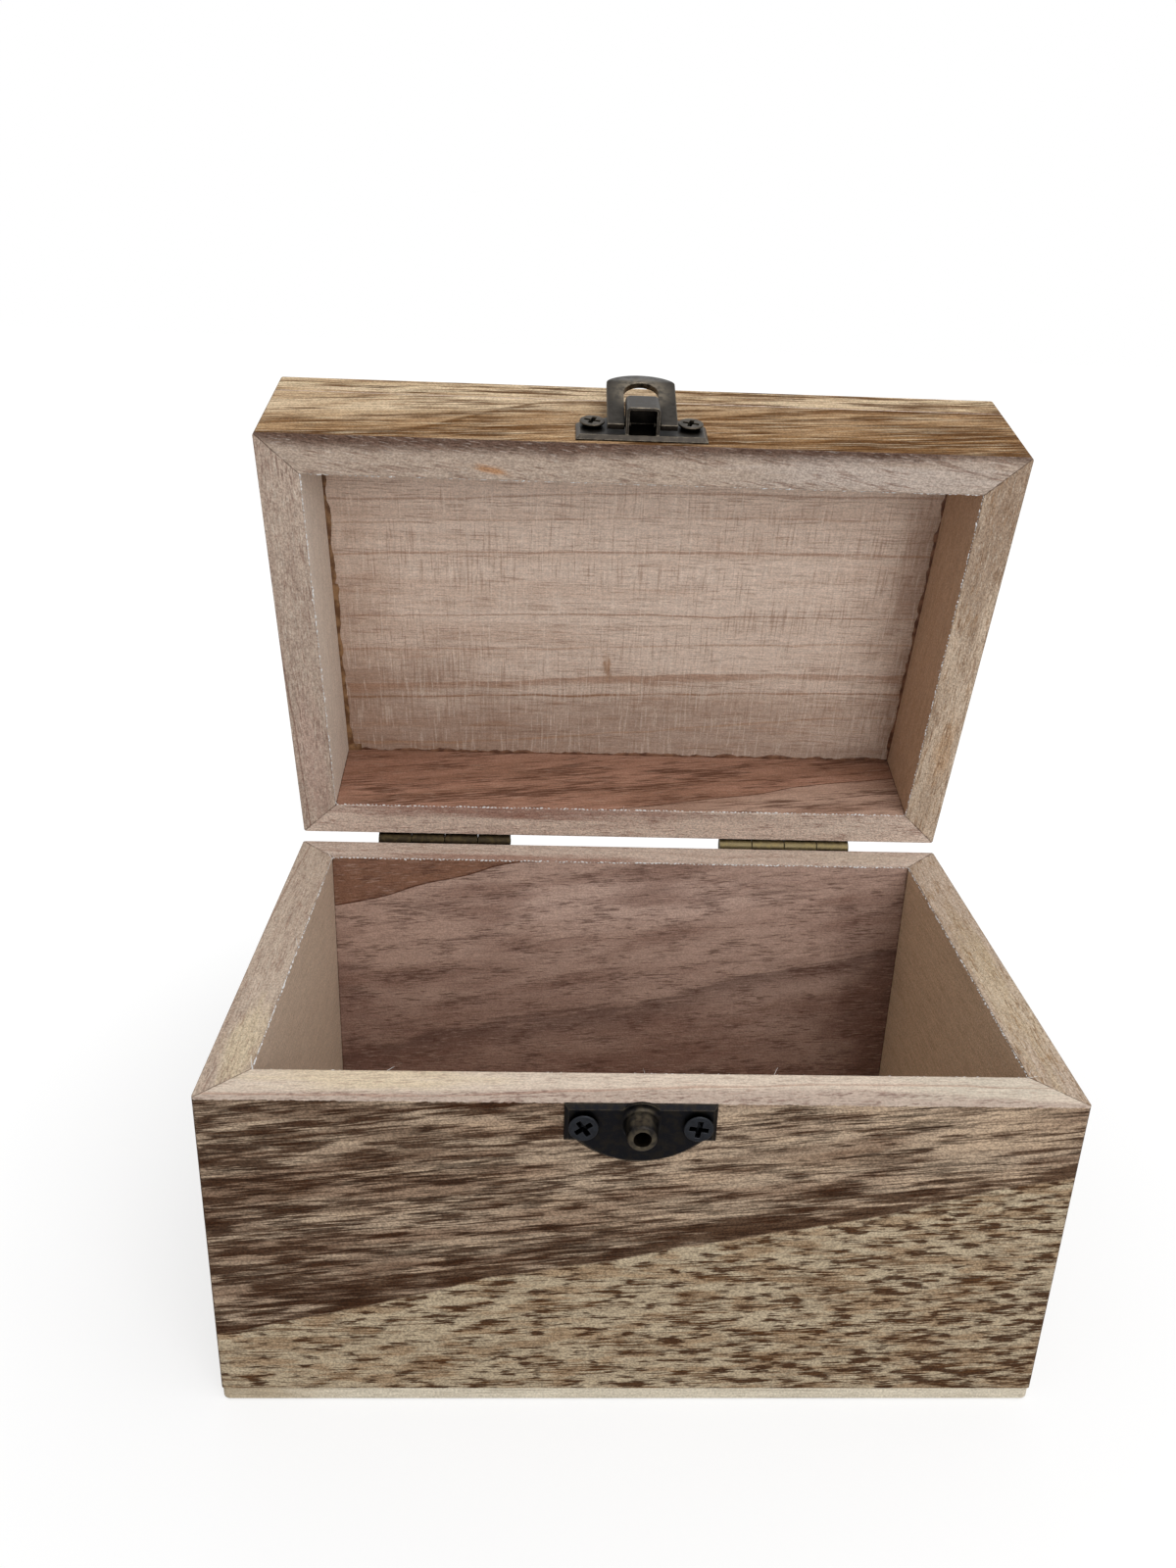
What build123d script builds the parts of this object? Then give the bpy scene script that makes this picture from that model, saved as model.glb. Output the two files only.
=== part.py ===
"""Small hinged wooden box with a stamped hasp latch, its lid standing open."""
import os

from build123d import *

# Box
length = 150.0
depth = 98.0
wall = 8.0
body_wall_height = 64.0
bottom_thickness = 3.0
lid_wall_height = 22.0
top_board_thickness = 8.0
corner_rounding = 0.6
bottom_corner_rounding = 1.5
bottom_edge_break = 0.5
top_board_edge_rounding = 0.5

# Lid as it stands open, measured from closed
lid_open_angle = 74.8

# Hinges
left_hinge_inset = 33.0
right_hinge_inset = 36.0
hinge_length = 31.2
hinge_sheet = 0.8
knuckles_per_hinge = 4
knuckle_end_gap = 0.2
knuckle_wood_clearance = 0.3
pin_radius = 0.85
pin_running_clearance = 0.05
pin_end_bevel = 0.2
leaf_reach = 10.5
leaf_corner_rounding = 1.0
leaf_notch_clearance = 0.4
curl_slit_width = 0.25
curl_slit_depth = 0.6
hinge_screw_spread = 20.0
hinge_screw_reach = 6.6

# Screws, all with flat cross-recessed heads on a right-angled cone
screw_core_radius = 0.85
screw_length = 6.0
screw_tip_length = 1.6
screw_rim = 0.25
screw_rim_break = 0.12
pilot_hole_spare_depth = 0.3
hasp_screw_head_radius = 2.5
hasp_screw_seat_radius = 1.8
hasp_recess_length = 3.3
hasp_recess_width = 0.95
hasp_recess_depth = 1.1
hinge_screw_head_radius = 1.8
hinge_screw_seat_radius = 1.6
hinge_recess_length = 2.2
hinge_recess_width = 0.7
hinge_recess_depth = 0.8
recess_slope = 12.0

# Latch plates, one on the lid and one on the body
hasp_x = -1.1
plate_length = 25.6
plate_thickness = 1.0
plate_edge_slope = 0.7
plate_tab_height = 7.3
plate_tab_length = 2.1
plate_bulge = 4.3
strike_plate_below_rim = 0.2
hasp_plate_above_rim = 1.5
hasp_screw_spread = 19.2
strike_screw_below_rim = 4.0
hasp_screw_above_rim = 6.9

# Nose of the strike plate
nose_below_rim = 3.7
nose_reach = 4.0
nose_root_radius = 3.0
nose_tip_radius = 2.45
nose_hole_radius = 1.5
nose_sheet = 0.8
nose_root_fillet = 0.6
nose_tip_rounding = 0.5

# Bridge of the hasp plate
bridge_width = 6.5
bridge_reach = 5.4
bridge_run = 6.2
bridge_sheet = 0.6
bridge_shoulder = 0.9
bridge_above_rim = 2.5

# Loop
loop_width = 13.6
loop_opening_width = 6.9
loop_sheet = 1.2
loop_pivot_above_rim = 4.2
loop_pivot_off_plate = 1.5
loop_foot_length = 1.0
loop_leg_length = 13.0
loop_lip_length = 4.5
loop_lip_angle = 18.0
loop_lip_bend_radius = 3.0
loop_shoulder_rounding = 1.5
loop_end_radius = 0.55
loop_end_clearance = 0.07
loop_end_reach_inside = 0.4
loop_swing_angle = 167.0

# Places that follow from the sizes above
body_height = bottom_thickness + body_wall_height
front_y = -depth / 2
back_y = depth / 2
knuckle_bore_radius = pin_radius + pin_running_clearance
knuckle_radius = knuckle_bore_radius + hinge_sheet
knuckle_pitch = hinge_length / knuckles_per_hinge
left_hinge_x = left_hinge_inset - length / 2
right_hinge_x = length / 2 - right_hinge_inset
leaf_notch = knuckle_radius + leaf_notch_clearance
hinge_y = back_y + knuckle_radius + knuckle_wood_clearance
hinge_z = body_height
plate_face_y = front_y - plate_thickness
loop_pivot_y = plate_face_y - loop_pivot_off_plate
loop_pivot_z = body_height + loop_pivot_above_rim
nose_z = body_height - nose_below_rim
strike_screw_z = body_height - strike_screw_below_rim
hasp_screw_z = body_height + hasp_screw_above_rim
hasp_recess = (hasp_recess_length, hasp_recess_width, hasp_recess_depth)
hinge_recess = (hinge_recess_length, hinge_recess_width, hinge_recess_depth)

# Wood faces that carry the metal, each seen from outside
front_face = Plane.XZ.offset(-front_y)
back_face = Plane(origin=(0, back_y, 0), x_dir=(-1, 0, 0), z_dir=(0, 1, 0))

# Lid pieces are drawn closed and the loop latched, and each is carried to where it stands open
unmoved = Location()
lid_swing = Pos(0, hinge_y, hinge_z) * Rot(-lid_open_angle, 0, 0) * Pos(0, -hinge_y, -hinge_z)
loop_swing = (
    lid_swing
    * Pos(0, loop_pivot_y, loop_pivot_z)
    * Rot(-loop_swing_angle, 0, 0)
    * Pos(0, -loop_pivot_y, -loop_pivot_z)
)


def carried(swing, plane):
    """Return a drawing plane carried along with the lid or the loop."""
    return Plane(swing * plane.location)


def spots(face, height, places):
    """Return a plane at each place on a wood face, lifted off it by a height."""
    return [
        Plane(origin=face.from_local_coords((x, z, height)), x_dir=face.x_dir, z_dir=face.z_dir)
        for x, z in places
    ]


def mitred_wall(side, base_z, height, swing=unmoved, face=None, screw_places=()):
    """Make one wall of a frame, mitred at both ends, with pilot holes in its outer face."""
    half_length = length / 2
    half_depth = depth / 2
    way = -1 if side in ("front", "left") else 1
    if side in ("front", "back"):
        wedge = [
            (-half_length, way * half_depth),
            (half_length, way * half_depth),
            (half_length - half_depth, 0),
            (half_depth - half_length, 0),
        ]
    else:
        wedge = [
            (way * half_length, -half_depth),
            (way * half_length, half_depth),
            (way * (half_length - half_depth), 0),
        ]
    with BuildPart() as wall_piece:
        with BuildSketch(carried(swing, Plane.XY.offset(base_z))):
            RectangleRounded(length, depth, corner_rounding)
            Rectangle(length - 2 * wall, depth - 2 * wall, mode=Mode.SUBTRACT)
            with BuildLine():
                Polyline(*wedge, close=True)
            make_face(mode=Mode.INTERSECT)
        extrude(amount=height)
        if screw_places:
            with BuildSketch(carried(swing, face)):
                with Locations(*screw_places):
                    Circle(screw_core_radius)
            extrude(amount=-screw_length - pilot_hole_spare_depth, mode=Mode.SUBTRACT)
    return wall_piece


def screws(face, plate, places, head_radius, seat_radius, recess, turns):
    """Make screws seated in a plate of the given thickness, each head turned its own way."""
    cone_top = plate + head_radius - seat_radius
    head_top = cone_top + screw_rim
    recess_length, recess_width, recess_depth = recess
    with BuildPart() as screw_group:
        for spot, turn in zip(spots(face, 0, places), turns):
            with BuildSketch(Plane(origin=spot.origin, x_dir=spot.x_dir, z_dir=-spot.y_dir)):
                with BuildLine():
                    Polyline(
                        (0, head_top),
                        (head_radius - screw_rim_break, head_top),
                        (head_radius, head_top - screw_rim_break),
                        (head_radius, cone_top),
                        (screw_core_radius, cone_top - head_radius + screw_core_radius),
                        (screw_core_radius, screw_tip_length - screw_length),
                        (0, -screw_length),
                        close=True,
                    )
                make_face()
            revolve(axis=Axis(spot.origin, spot.z_dir))
            with BuildSketch(spot.offset(head_top)):
                Rectangle(recess_length, recess_width, rotation=turn)
                Rectangle(recess_width, recess_length, rotation=turn)
            extrude(amount=-recess_depth, taper=recess_slope, mode=Mode.SUBTRACT)
    return screw_group


def leaf_screw_places(hinge_x, way):
    """Return where the screws of a leaf stand, seen from behind: way is 1 up, -1 down."""
    z = hinge_z + way * hinge_screw_reach
    return [(-hinge_x - hinge_screw_spread / 2, z), (-hinge_x + hinge_screw_spread / 2, z)]


def plate_screw_places(z):
    """Return where the screws of a latch plate stand."""
    return [(hasp_x - hasp_screw_spread / 2, z), (hasp_x + hasp_screw_spread / 2, z)]


def hinge_leaf(hinge_x, way, bore_radius, swing=unmoved):
    """Make a hinge leaf, rolled round the pin at every other knuckle: way is 1 up, -1 down."""
    face = carried(swing, back_face)
    first_knuckle = 0 if way < 0 else 1
    left_end = hinge_x - hinge_length / 2
    sheet_y = back_y + hinge_sheet
    with BuildPart() as leaf:
        with BuildSketch(face):
            with Locations((-hinge_x, hinge_z + way * (leaf_notch + leaf_reach) / 2)):
                Rectangle(hinge_length, leaf_reach - leaf_notch)
            far_corners = vertices().group_by(Axis.Y)[-1 if way > 0 else 0]
            fillet(far_corners, leaf_corner_rounding)
        extrude(amount=hinge_sheet)
        with Locations(*spots(face, hinge_sheet, leaf_screw_places(hinge_x, way))):
            CounterSinkHole(screw_core_radius, hinge_screw_seat_radius, counter_sink_angle=90)
        for knuckle in range(first_knuckle, knuckles_per_hinge, 2):
            knuckle_x = left_end + knuckle * knuckle_pitch + knuckle_end_gap / 2
            with BuildSketch(carried(swing, Plane.YZ.offset(knuckle_x))):
                with Locations((hinge_y, hinge_z)):
                    Circle(knuckle_radius)
                with BuildLine():
                    Polyline(
                        (back_y, hinge_z + way * leaf_notch),
                        (sheet_y, hinge_z + way * leaf_notch),
                        (sheet_y, hinge_z + way * knuckle_bore_radius),
                        (hinge_y - knuckle_bore_radius - hinge_sheet / 2, hinge_z),
                        (hinge_y - knuckle_radius, hinge_z),
                        (back_y, hinge_z + way * knuckle_bore_radius),
                        close=True,
                    )
                make_face()
                with Locations((hinge_y, hinge_z)):
                    Circle(bore_radius, mode=Mode.SUBTRACT)
                with Locations((sheet_y + curl_slit_width / 2, hinge_z + way * knuckle_radius)):
                    Rectangle(curl_slit_width, 2 * curl_slit_depth, mode=Mode.SUBTRACT)
            extrude(amount=knuckle_pitch - knuckle_end_gap)
    return leaf


def hinge_pin(hinge_x):
    """Make the pin that both leaves of a hinge are rolled round."""
    with BuildPart() as pin:
        with BuildSketch(Plane.YZ.offset(hinge_x - hinge_length / 2)):
            with Locations((hinge_y, hinge_z)):
                Circle(pin_radius)
        extrude(amount=hinge_length)
        chamfer(edges().filter_by(GeomType.CIRCLE), pin_end_bevel)
    return pin


def latch_plate(face, edge_z, way, screw_z):
    """Press a latch plate: straight at the rim, square tabs and a round bulge away from it."""
    half = plate_length / 2
    shoulder = half - plate_tab_length
    tab_z = edge_z + way * plate_tab_height
    with BuildPart() as plate:
        with BuildSketch(face):
            with BuildLine():
                Polyline(
                    (hasp_x - shoulder, tab_z),
                    (hasp_x - half, tab_z),
                    (hasp_x - half, edge_z),
                    (hasp_x + half, edge_z),
                    (hasp_x + half, tab_z),
                    (hasp_x + shoulder, tab_z),
                )
                ThreePointArc(
                    (hasp_x - shoulder, tab_z),
                    (hasp_x, tab_z + way * plate_bulge),
                    (hasp_x + shoulder, tab_z),
                )
            make_face()
        extrude(amount=plate_thickness)
        outward = Axis(face.origin, face.z_dir)
        chamfer(faces().sort_by(outward)[-1].edges(), plate_edge_slope)
        with Locations(*spots(face, plate_thickness, plate_screw_places(screw_z))):
            CounterSinkHole(screw_core_radius, hasp_screw_seat_radius, counter_sink_angle=90)
    return plate


# Body of the box
body_front_wall = mitred_wall(
    "front",
    bottom_thickness,
    body_wall_height,
    face=front_face,
    screw_places=plate_screw_places(strike_screw_z),
)
body_back_wall = mitred_wall(
    "back",
    bottom_thickness,
    body_wall_height,
    face=back_face,
    screw_places=leaf_screw_places(left_hinge_x, -1) + leaf_screw_places(right_hinge_x, -1),
)
body_left_wall = mitred_wall("left", bottom_thickness, body_wall_height)
body_right_wall = mitred_wall("right", bottom_thickness, body_wall_height)

with BuildPart() as bottom_panel:
    with BuildSketch():
        RectangleRounded(length, depth, bottom_corner_rounding)
    extrude(amount=bottom_thickness)
    chamfer(faces().sort_by(Axis.Z)[0].edges(), bottom_edge_break)

# Strike plate with its hollow drawn nose
flat_strike_plate = latch_plate(
    front_face, body_height - strike_plate_below_rim, -1, strike_screw_z
)
with BuildPart() as strike_plate:
    add(flat_strike_plate)
    nose_origin = (hasp_x, plate_face_y, nose_z)
    nose_axis = Axis(nose_origin, (0, -1, 0))
    nose_plane = Plane(origin=nose_origin, x_dir=(1, 0, 0), z_dir=(0, 0, -1))
    with BuildSketch(nose_plane):
        with BuildLine():
            Polyline(
                (0, -plate_thickness / 2),
                (nose_root_radius + 2 * nose_root_fillet, -plate_thickness / 2),
                (nose_root_radius + 2 * nose_root_fillet, 0),
                (nose_root_radius, 0),
                (nose_tip_radius, nose_reach),
                (0, nose_reach),
                close=True,
            )
        make_face()
        fillet(vertices().sort_by_distance((nose_root_radius, 0))[0], nose_root_fillet)
        fillet(vertices().sort_by_distance((nose_tip_radius, nose_reach))[0], nose_tip_rounding)
    revolve(axis=nose_axis)
    with BuildSketch(nose_plane):
        with BuildLine():
            Polyline(
                (0, -plate_thickness),
                (nose_root_radius - nose_sheet, -plate_thickness),
                (nose_root_radius - nose_sheet, 0),
                (nose_hole_radius, nose_reach),
                (0, nose_reach),
                close=True,
            )
        make_face()
    revolve(axis=nose_axis, mode=Mode.SUBTRACT)

strike_plate_screws = screws(
    front_face,
    plate_thickness,
    plate_screw_places(strike_screw_z),
    hasp_screw_head_radius,
    hasp_screw_seat_radius,
    hasp_recess,
    turns=(35, -8),
)

# Hinges: the body leaves grip their pins and the lid leaves turn on them
left_hinge_body_leaf = hinge_leaf(left_hinge_x, -1, pin_radius)
right_hinge_body_leaf = hinge_leaf(right_hinge_x, -1, pin_radius)
left_hinge_lid_leaf = hinge_leaf(left_hinge_x, 1, knuckle_bore_radius, lid_swing)
right_hinge_lid_leaf = hinge_leaf(right_hinge_x, 1, knuckle_bore_radius, lid_swing)
left_hinge_pin = hinge_pin(left_hinge_x)
right_hinge_pin = hinge_pin(right_hinge_x)

body_hinge_screws = screws(
    back_face,
    hinge_sheet,
    leaf_screw_places(left_hinge_x, -1) + leaf_screw_places(right_hinge_x, -1),
    hinge_screw_head_radius,
    hinge_screw_seat_radius,
    hinge_recess,
    turns=(12, -30, 25, 4),
)
lid_hinge_screws = screws(
    carried(lid_swing, back_face),
    hinge_sheet,
    leaf_screw_places(left_hinge_x, 1) + leaf_screw_places(right_hinge_x, 1),
    hinge_screw_head_radius,
    hinge_screw_seat_radius,
    hinge_recess,
    turns=(-18, 38, 7, -40),
)

# Lid of the box
lid_front_wall = mitred_wall(
    "front",
    body_height,
    lid_wall_height,
    lid_swing,
    front_face,
    plate_screw_places(hasp_screw_z),
)
lid_back_wall = mitred_wall(
    "back",
    body_height,
    lid_wall_height,
    lid_swing,
    back_face,
    leaf_screw_places(left_hinge_x, 1) + leaf_screw_places(right_hinge_x, 1),
)
lid_left_wall = mitred_wall("left", body_height, lid_wall_height, lid_swing)
lid_right_wall = mitred_wall("right", body_height, lid_wall_height, lid_swing)

with BuildPart() as lid_top_board:
    board_plane = carried(lid_swing, Plane.XY.offset(body_height + lid_wall_height))
    with BuildSketch(board_plane):
        RectangleRounded(length, depth, corner_rounding)
    extrude(amount=top_board_thickness)
    board_up = Axis(board_plane.origin, board_plane.z_dir)
    fillet(faces().sort_by(board_up)[-1].edges(), top_board_edge_rounding)

# Hasp plate with the raised bridge that the loop turns in
flat_hasp_plate = latch_plate(
    carried(lid_swing, front_face), body_height + hasp_plate_above_rim, 1, hasp_screw_z
)
with BuildPart() as hasp_plate:
    add(flat_hasp_plate)
    bridge_top_y = plate_face_y - bridge_reach
    bridge_mouth = carried(lid_swing, Plane.XY.offset(body_height + bridge_above_rim))
    with BuildSketch(bridge_mouth):
        with Locations((hasp_x, plate_face_y)):
            Rectangle(bridge_width, 2 * bridge_reach)
        outer_shoulders = vertices().group_by(Axis.Y)[0]
        fillet(outer_shoulders, bridge_shoulder)
        with Locations((hasp_x, plate_face_y + bridge_reach / 2)):
            Rectangle(bridge_width, bridge_reach, mode=Mode.SUBTRACT)
    extrude(amount=bridge_run)
    inner_half = bridge_width / 2 - bridge_sheet
    inner_top_y = bridge_top_y + bridge_sheet
    with BuildSketch(bridge_mouth):
        with BuildLine():
            FilletPolyline(
                (hasp_x - inner_half, plate_face_y),
                (hasp_x - inner_half, inner_top_y),
                (hasp_x + inner_half, inner_top_y),
                (hasp_x + inner_half, plate_face_y),
                radius=bridge_shoulder - bridge_sheet,
            )
            Line((hasp_x + inner_half, plate_face_y), (hasp_x - inner_half, plate_face_y))
        make_face()
    extrude(amount=bridge_run - bridge_sheet, mode=Mode.SUBTRACT)
    with BuildSketch(carried(lid_swing, Plane.YZ.offset(hasp_x))):
        with Locations((loop_pivot_y, loop_pivot_z)):
            Circle(loop_end_radius + loop_end_clearance)
    extrude(amount=bridge_width, both=True, mode=Mode.SUBTRACT)

hasp_plate_screws = screws(
    carried(lid_swing, front_face),
    plate_thickness,
    plate_screw_places(hasp_screw_z),
    hasp_screw_head_radius,
    hasp_screw_seat_radius,
    hasp_recess,
    turns=(-20, -17),
)

# Loop: a strip bent at its lip, cut to its outline, with two inward ends that turn in the bridge
with BuildPart() as hasp_loop:
    crown_z = loop_pivot_z - loop_leg_length
    with BuildSketch(carried(loop_swing, Plane.YZ.offset(hasp_x))):
        with BuildLine():
            leg = Line((loop_pivot_y, loop_pivot_z + loop_foot_length), (loop_pivot_y, crown_z))
            bend = JernArc(leg @ 1, leg % 1, loop_lip_bend_radius, -loop_lip_angle)
            Line(bend @ 1, bend @ 1 + (bend % 1) * loop_lip_length)
        trace(line_width=loop_sheet)
    extrude(amount=loop_width / 2, both=True)
    with BuildSketch(carried(loop_swing, Plane.XZ.offset(-loop_pivot_y))):
        half_width = loop_width / 2
        half_opening = loop_opening_width / 2
        foot_z = loop_pivot_z + loop_foot_length
        with BuildLine():
            Polyline(
                (hasp_x - half_width, crown_z),
                (hasp_x - half_width, foot_z),
                (hasp_x - half_opening, foot_z),
                (hasp_x - half_opening, crown_z + half_opening),
            )
            ThreePointArc(
                (hasp_x - half_opening, crown_z + half_opening),
                (hasp_x, crown_z),
                (hasp_x + half_opening, crown_z + half_opening),
            )
            Polyline(
                (hasp_x + half_opening, crown_z + half_opening),
                (hasp_x + half_opening, foot_z),
                (hasp_x + half_width, foot_z),
                (hasp_x + half_width, crown_z),
            )
            ThreePointArc(
                (hasp_x + half_width, crown_z),
                (hasp_x, crown_z - loop_lip_length),
                (hasp_x - half_width, crown_z),
            )
        make_face()
        for way in (-1, 1):
            shoulder = vertices().sort_by_distance((hasp_x + way * half_width, crown_z))[0]
            fillet(shoulder, loop_shoulder_rounding)
    extrude(amount=2 * loop_lip_length, both=True, mode=Mode.INTERSECT)
    leg_middle = (loop_width + loop_opening_width) / 4
    end_stop = bridge_width / 2 - bridge_sheet - loop_end_reach_inside
    for way in (-1, 1):
        with BuildSketch(carried(loop_swing, Plane.YZ.offset(hasp_x + way * leg_middle))):
            with Locations((loop_pivot_y, loop_pivot_z)):
                Circle(loop_end_radius)
        extrude(amount=way * (end_stop - leg_middle))

pieces = {
    "body_front_wall": body_front_wall,
    "body_back_wall": body_back_wall,
    "body_left_wall": body_left_wall,
    "body_right_wall": body_right_wall,
    "bottom_panel": bottom_panel,
    "strike_plate": strike_plate,
    "strike_plate_screws": strike_plate_screws,
    "left_hinge_body_leaf": left_hinge_body_leaf,
    "right_hinge_body_leaf": right_hinge_body_leaf,
    "left_hinge_pin": left_hinge_pin,
    "right_hinge_pin": right_hinge_pin,
    "body_hinge_screws": body_hinge_screws,
    "lid_front_wall": lid_front_wall,
    "lid_back_wall": lid_back_wall,
    "lid_left_wall": lid_left_wall,
    "lid_right_wall": lid_right_wall,
    "lid_top_board": lid_top_board,
    "left_hinge_lid_leaf": left_hinge_lid_leaf,
    "right_hinge_lid_leaf": right_hinge_lid_leaf,
    "lid_hinge_screws": lid_hinge_screws,
    "hasp_plate": hasp_plate,
    "hasp_plate_screws": hasp_plate_screws,
    "hasp_loop": hasp_loop,
}

os.makedirs("parts", exist_ok=True)
for name, piece in pieces.items():
    piece.part.label = name
    export_step(piece.part, f"parts/{name}.step")
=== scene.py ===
"""Looks of a small hinged wooden box with a stamped hasp latch, its lid standing open.

The CAD's own pieces are dressed in procedural materials. Five small pieces are added: three lines
of dried glue in the lid, and the torn fibres along the body's and the lid's rims. Sizes are in mm,
and places are those in the closed box, unless a comment says otherwise.
"""

from __future__ import annotations

import logging
import math
from dataclasses import dataclass
from enum import Enum
from typing import Any, Union

import bpy
from mathutils import Euler, Matrix, Vector

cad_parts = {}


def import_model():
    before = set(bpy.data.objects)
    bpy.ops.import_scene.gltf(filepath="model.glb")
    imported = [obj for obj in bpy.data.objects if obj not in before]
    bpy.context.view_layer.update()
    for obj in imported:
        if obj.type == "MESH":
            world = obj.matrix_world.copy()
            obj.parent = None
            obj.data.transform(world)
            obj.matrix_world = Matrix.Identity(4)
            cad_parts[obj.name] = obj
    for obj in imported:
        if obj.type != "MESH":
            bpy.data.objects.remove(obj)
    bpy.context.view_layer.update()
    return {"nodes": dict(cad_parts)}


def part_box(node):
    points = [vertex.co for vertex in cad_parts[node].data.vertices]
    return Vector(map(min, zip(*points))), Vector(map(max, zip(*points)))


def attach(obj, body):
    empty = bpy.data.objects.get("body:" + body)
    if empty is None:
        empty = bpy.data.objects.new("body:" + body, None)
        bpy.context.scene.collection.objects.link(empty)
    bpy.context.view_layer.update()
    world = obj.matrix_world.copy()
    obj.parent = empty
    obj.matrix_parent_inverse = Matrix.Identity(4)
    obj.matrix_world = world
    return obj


log = logging.getLogger("wooden_box")

MM = 0.001
HALF_LENGTH = 75.0
HALF_DEPTH = 49.0
RIM_Z = 67.0  # where the body's rim and the lid's meet
BOARD_UNDER, BOARD_TOP = 89.0, 97.0  # the lid's top board
SKIN = 0.4  # how deep the grain of a rim or an outer face reaches into its board
SEED_STEP = (7.3, 3.1, 5.7)  # how far a seed of 1 shifts a noise along, across and through
NOISE_LOW, NOISE_HIGH = 0.3, 0.7  # what a noise of several levels keeps between
GRIT_LOW, GRIT_HIGH = 0.36, 0.64  # the same for a noise of one level
STRAIGHT = 400.0  # a noise this wide across a face changes along it only
STREAK = (11.0, 0.75)  # the streaks that a growth line frays into
GAP = (20.0, 3.0)  # the gaps where it breaks up
FRAY, PART = 2.8, 3.2  # these bring the noises of streaks and gaps to about 0.6 up or down
LINE_BEGUN, LINE_FULL = 0.15, 0.75  # the sum of fade, streaks and gaps that draws a growth line
VECTOR_MEASURES = ("DOT_PRODUCT", "LENGTH", "DISTANCE")

Colour = tuple[float, float, float, float]
Pair = tuple[float, float]
Triple = tuple[float, float, float]
Socket = bpy.types.NodeSocket
Tree = bpy.types.NodeTree


def linear(srgb: str) -> Colour:
    """Turn an sRGB colour, "#rrggbb", into the linear one that a shader socket takes."""
    parts = [int(srgb[i : i + 2], 16) / 255 for i in (1, 3, 5)]
    return (*[c / 12.92 if c <= 0.04045 else ((c + 0.055) / 1.055) ** 2.4 for c in parts], 1.0)


def add(tree: Tree, kind: str, links: dict | None = None, **settings: Any) -> bpy.types.Node:
    """Add a node with its settings, and link or set its inputs.

    Args:
        tree: The node tree that gets the node.
        kind: Blender's name for the kind of node.
        links: Socket name or number to the socket that feeds it, or to its value.
        **settings: Properties of the node, set before its sockets are looked up.

    Returns:
        The new node.
    """
    node = tree.nodes.new(kind)
    for name, value in settings.items():
        setattr(node, name, value)
    for socket, value in (links or {}).items():
        if isinstance(value, bpy.types.NodeSocket):
            tree.links.new(value, node.inputs[socket])
        else:
            node.inputs[socket].default_value = value
    return node


def maths(tree: Tree, operation: str, *values: Any) -> Socket:
    """Return the number that a sum on numbers, or a measure of vectors, gives."""
    kind = "ShaderNodeVectorMath" if operation in VECTOR_MEASURES else "ShaderNodeMath"
    return add(tree, kind, dict(enumerate(values)), operation=operation).outputs["Value"]


def scaled(tree: Tree, vector: Socket, by: Socket) -> Socket:
    """Return a vector or a colour times a number."""
    links = {0: vector, "Scale": by}
    return add(tree, "ShaderNodeVectorMath", links, operation="SCALE").outputs[0]


def ramp(
    tree: Tree, value: Socket, begin: Any = 0.0, full: Any = 1.0, low: float = 0.0,
    high: float = 1.0, soft: bool = True,
) -> Socket:
    """Turn a value that runs from begin to full into one that runs from low to high.

    Args:
        tree: The node tree.
        value: The value.
        begin: Where it gives low.
        full: Where it gives high.
        low: What it gives at begin and before it.
        high: What it gives at full and past it.
        soft: Whether it eases in and out, or runs straight.

    Returns:
        The socket that holds the result.
    """
    kind = "SMOOTHSTEP" if soft else "LINEAR"
    links = {0: value, 1: begin, 2: full, 3: low, 4: high}
    return add(tree, "ShaderNodeMapRange", links, interpolation_type=kind).outputs[0]


def mix(tree: Tree, share: Any, under: Any, over: Any, numbers: bool = False) -> Socket:
    """Go from one colour, or one number, to another by a share.

    Args:
        tree: The node tree.
        share: How much of the second shows, from 0 to 1.
        under: The first.
        over: The second.
        numbers: Whether they are numbers.

    Returns:
        The socket that holds the result.
    """
    kind, first, result = ("FLOAT", 2, 0) if numbers else ("RGBA", 6, 2)
    links = {0: share, first: under, first + 1: over}
    return add(tree, "ShaderNodeMix", links, data_type=kind).outputs[result]


def blank(name: str) -> bpy.types.Material:
    """Make a material with an empty node tree.

    Args:
        name: The material's name.

    Returns:
        The material.
    """
    made = bpy.data.materials.new(name)
    made.use_nodes = True
    made.node_tree.nodes.clear()
    return made


def surface(tree: Tree, links: dict) -> None:
    """End a material's tree in a Principled shader with these inputs."""
    shader = add(tree, "ShaderNodeBsdfPrincipled", links)
    add(tree, "ShaderNodeOutputMaterial", {0: shader.outputs[0]})


class Plane(Enum):
    """How a face of a board lies: rows that turn closed-box x, y, z into along, across, through."""

    LONG_WALL = ((1, 0, 0), (0, 0, 1), (0, -1, 0))
    SHORT_WALL = ((0, 1, 0), (0, 0, 1), (1, 0, 0))
    LONG_FLAT = ((1, 0, 0), (0, 1, 0), (0, 0, 1))
    SHORT_FLAT = ((0, 1, 0), (-1, 0, 0), (0, 0, 1))


class Side(Enum):
    """The side of a growth edge that marks keep to."""

    BOTH = "both"
    ABOVE = "above"
    BELOW = "below"


@dataclass(frozen=True)
class Swing:
    """Where the lid stands: turned back about the hinge pins by an angle."""

    hinge_y: float = 51.0
    hinge_z: float = 67.0
    angle: float = 74.8

    def closing(self) -> Matrix:
        """Return the matrix, in mm, that carries the open lid back to closed."""
        pivot = Vector((0, self.hinge_y, self.hinge_z))
        turn = Matrix.Rotation(math.radians(self.angle), 4, "X")
        return Matrix.Translation(pivot) @ turn @ Matrix.Translation(-pivot)

    def opening(self) -> Matrix:
        """Return the matrix, in metres, that carries the closed lid to where it stands open."""
        matrix = self.closing().inverted()
        matrix.translation *= MM
        return matrix


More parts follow.
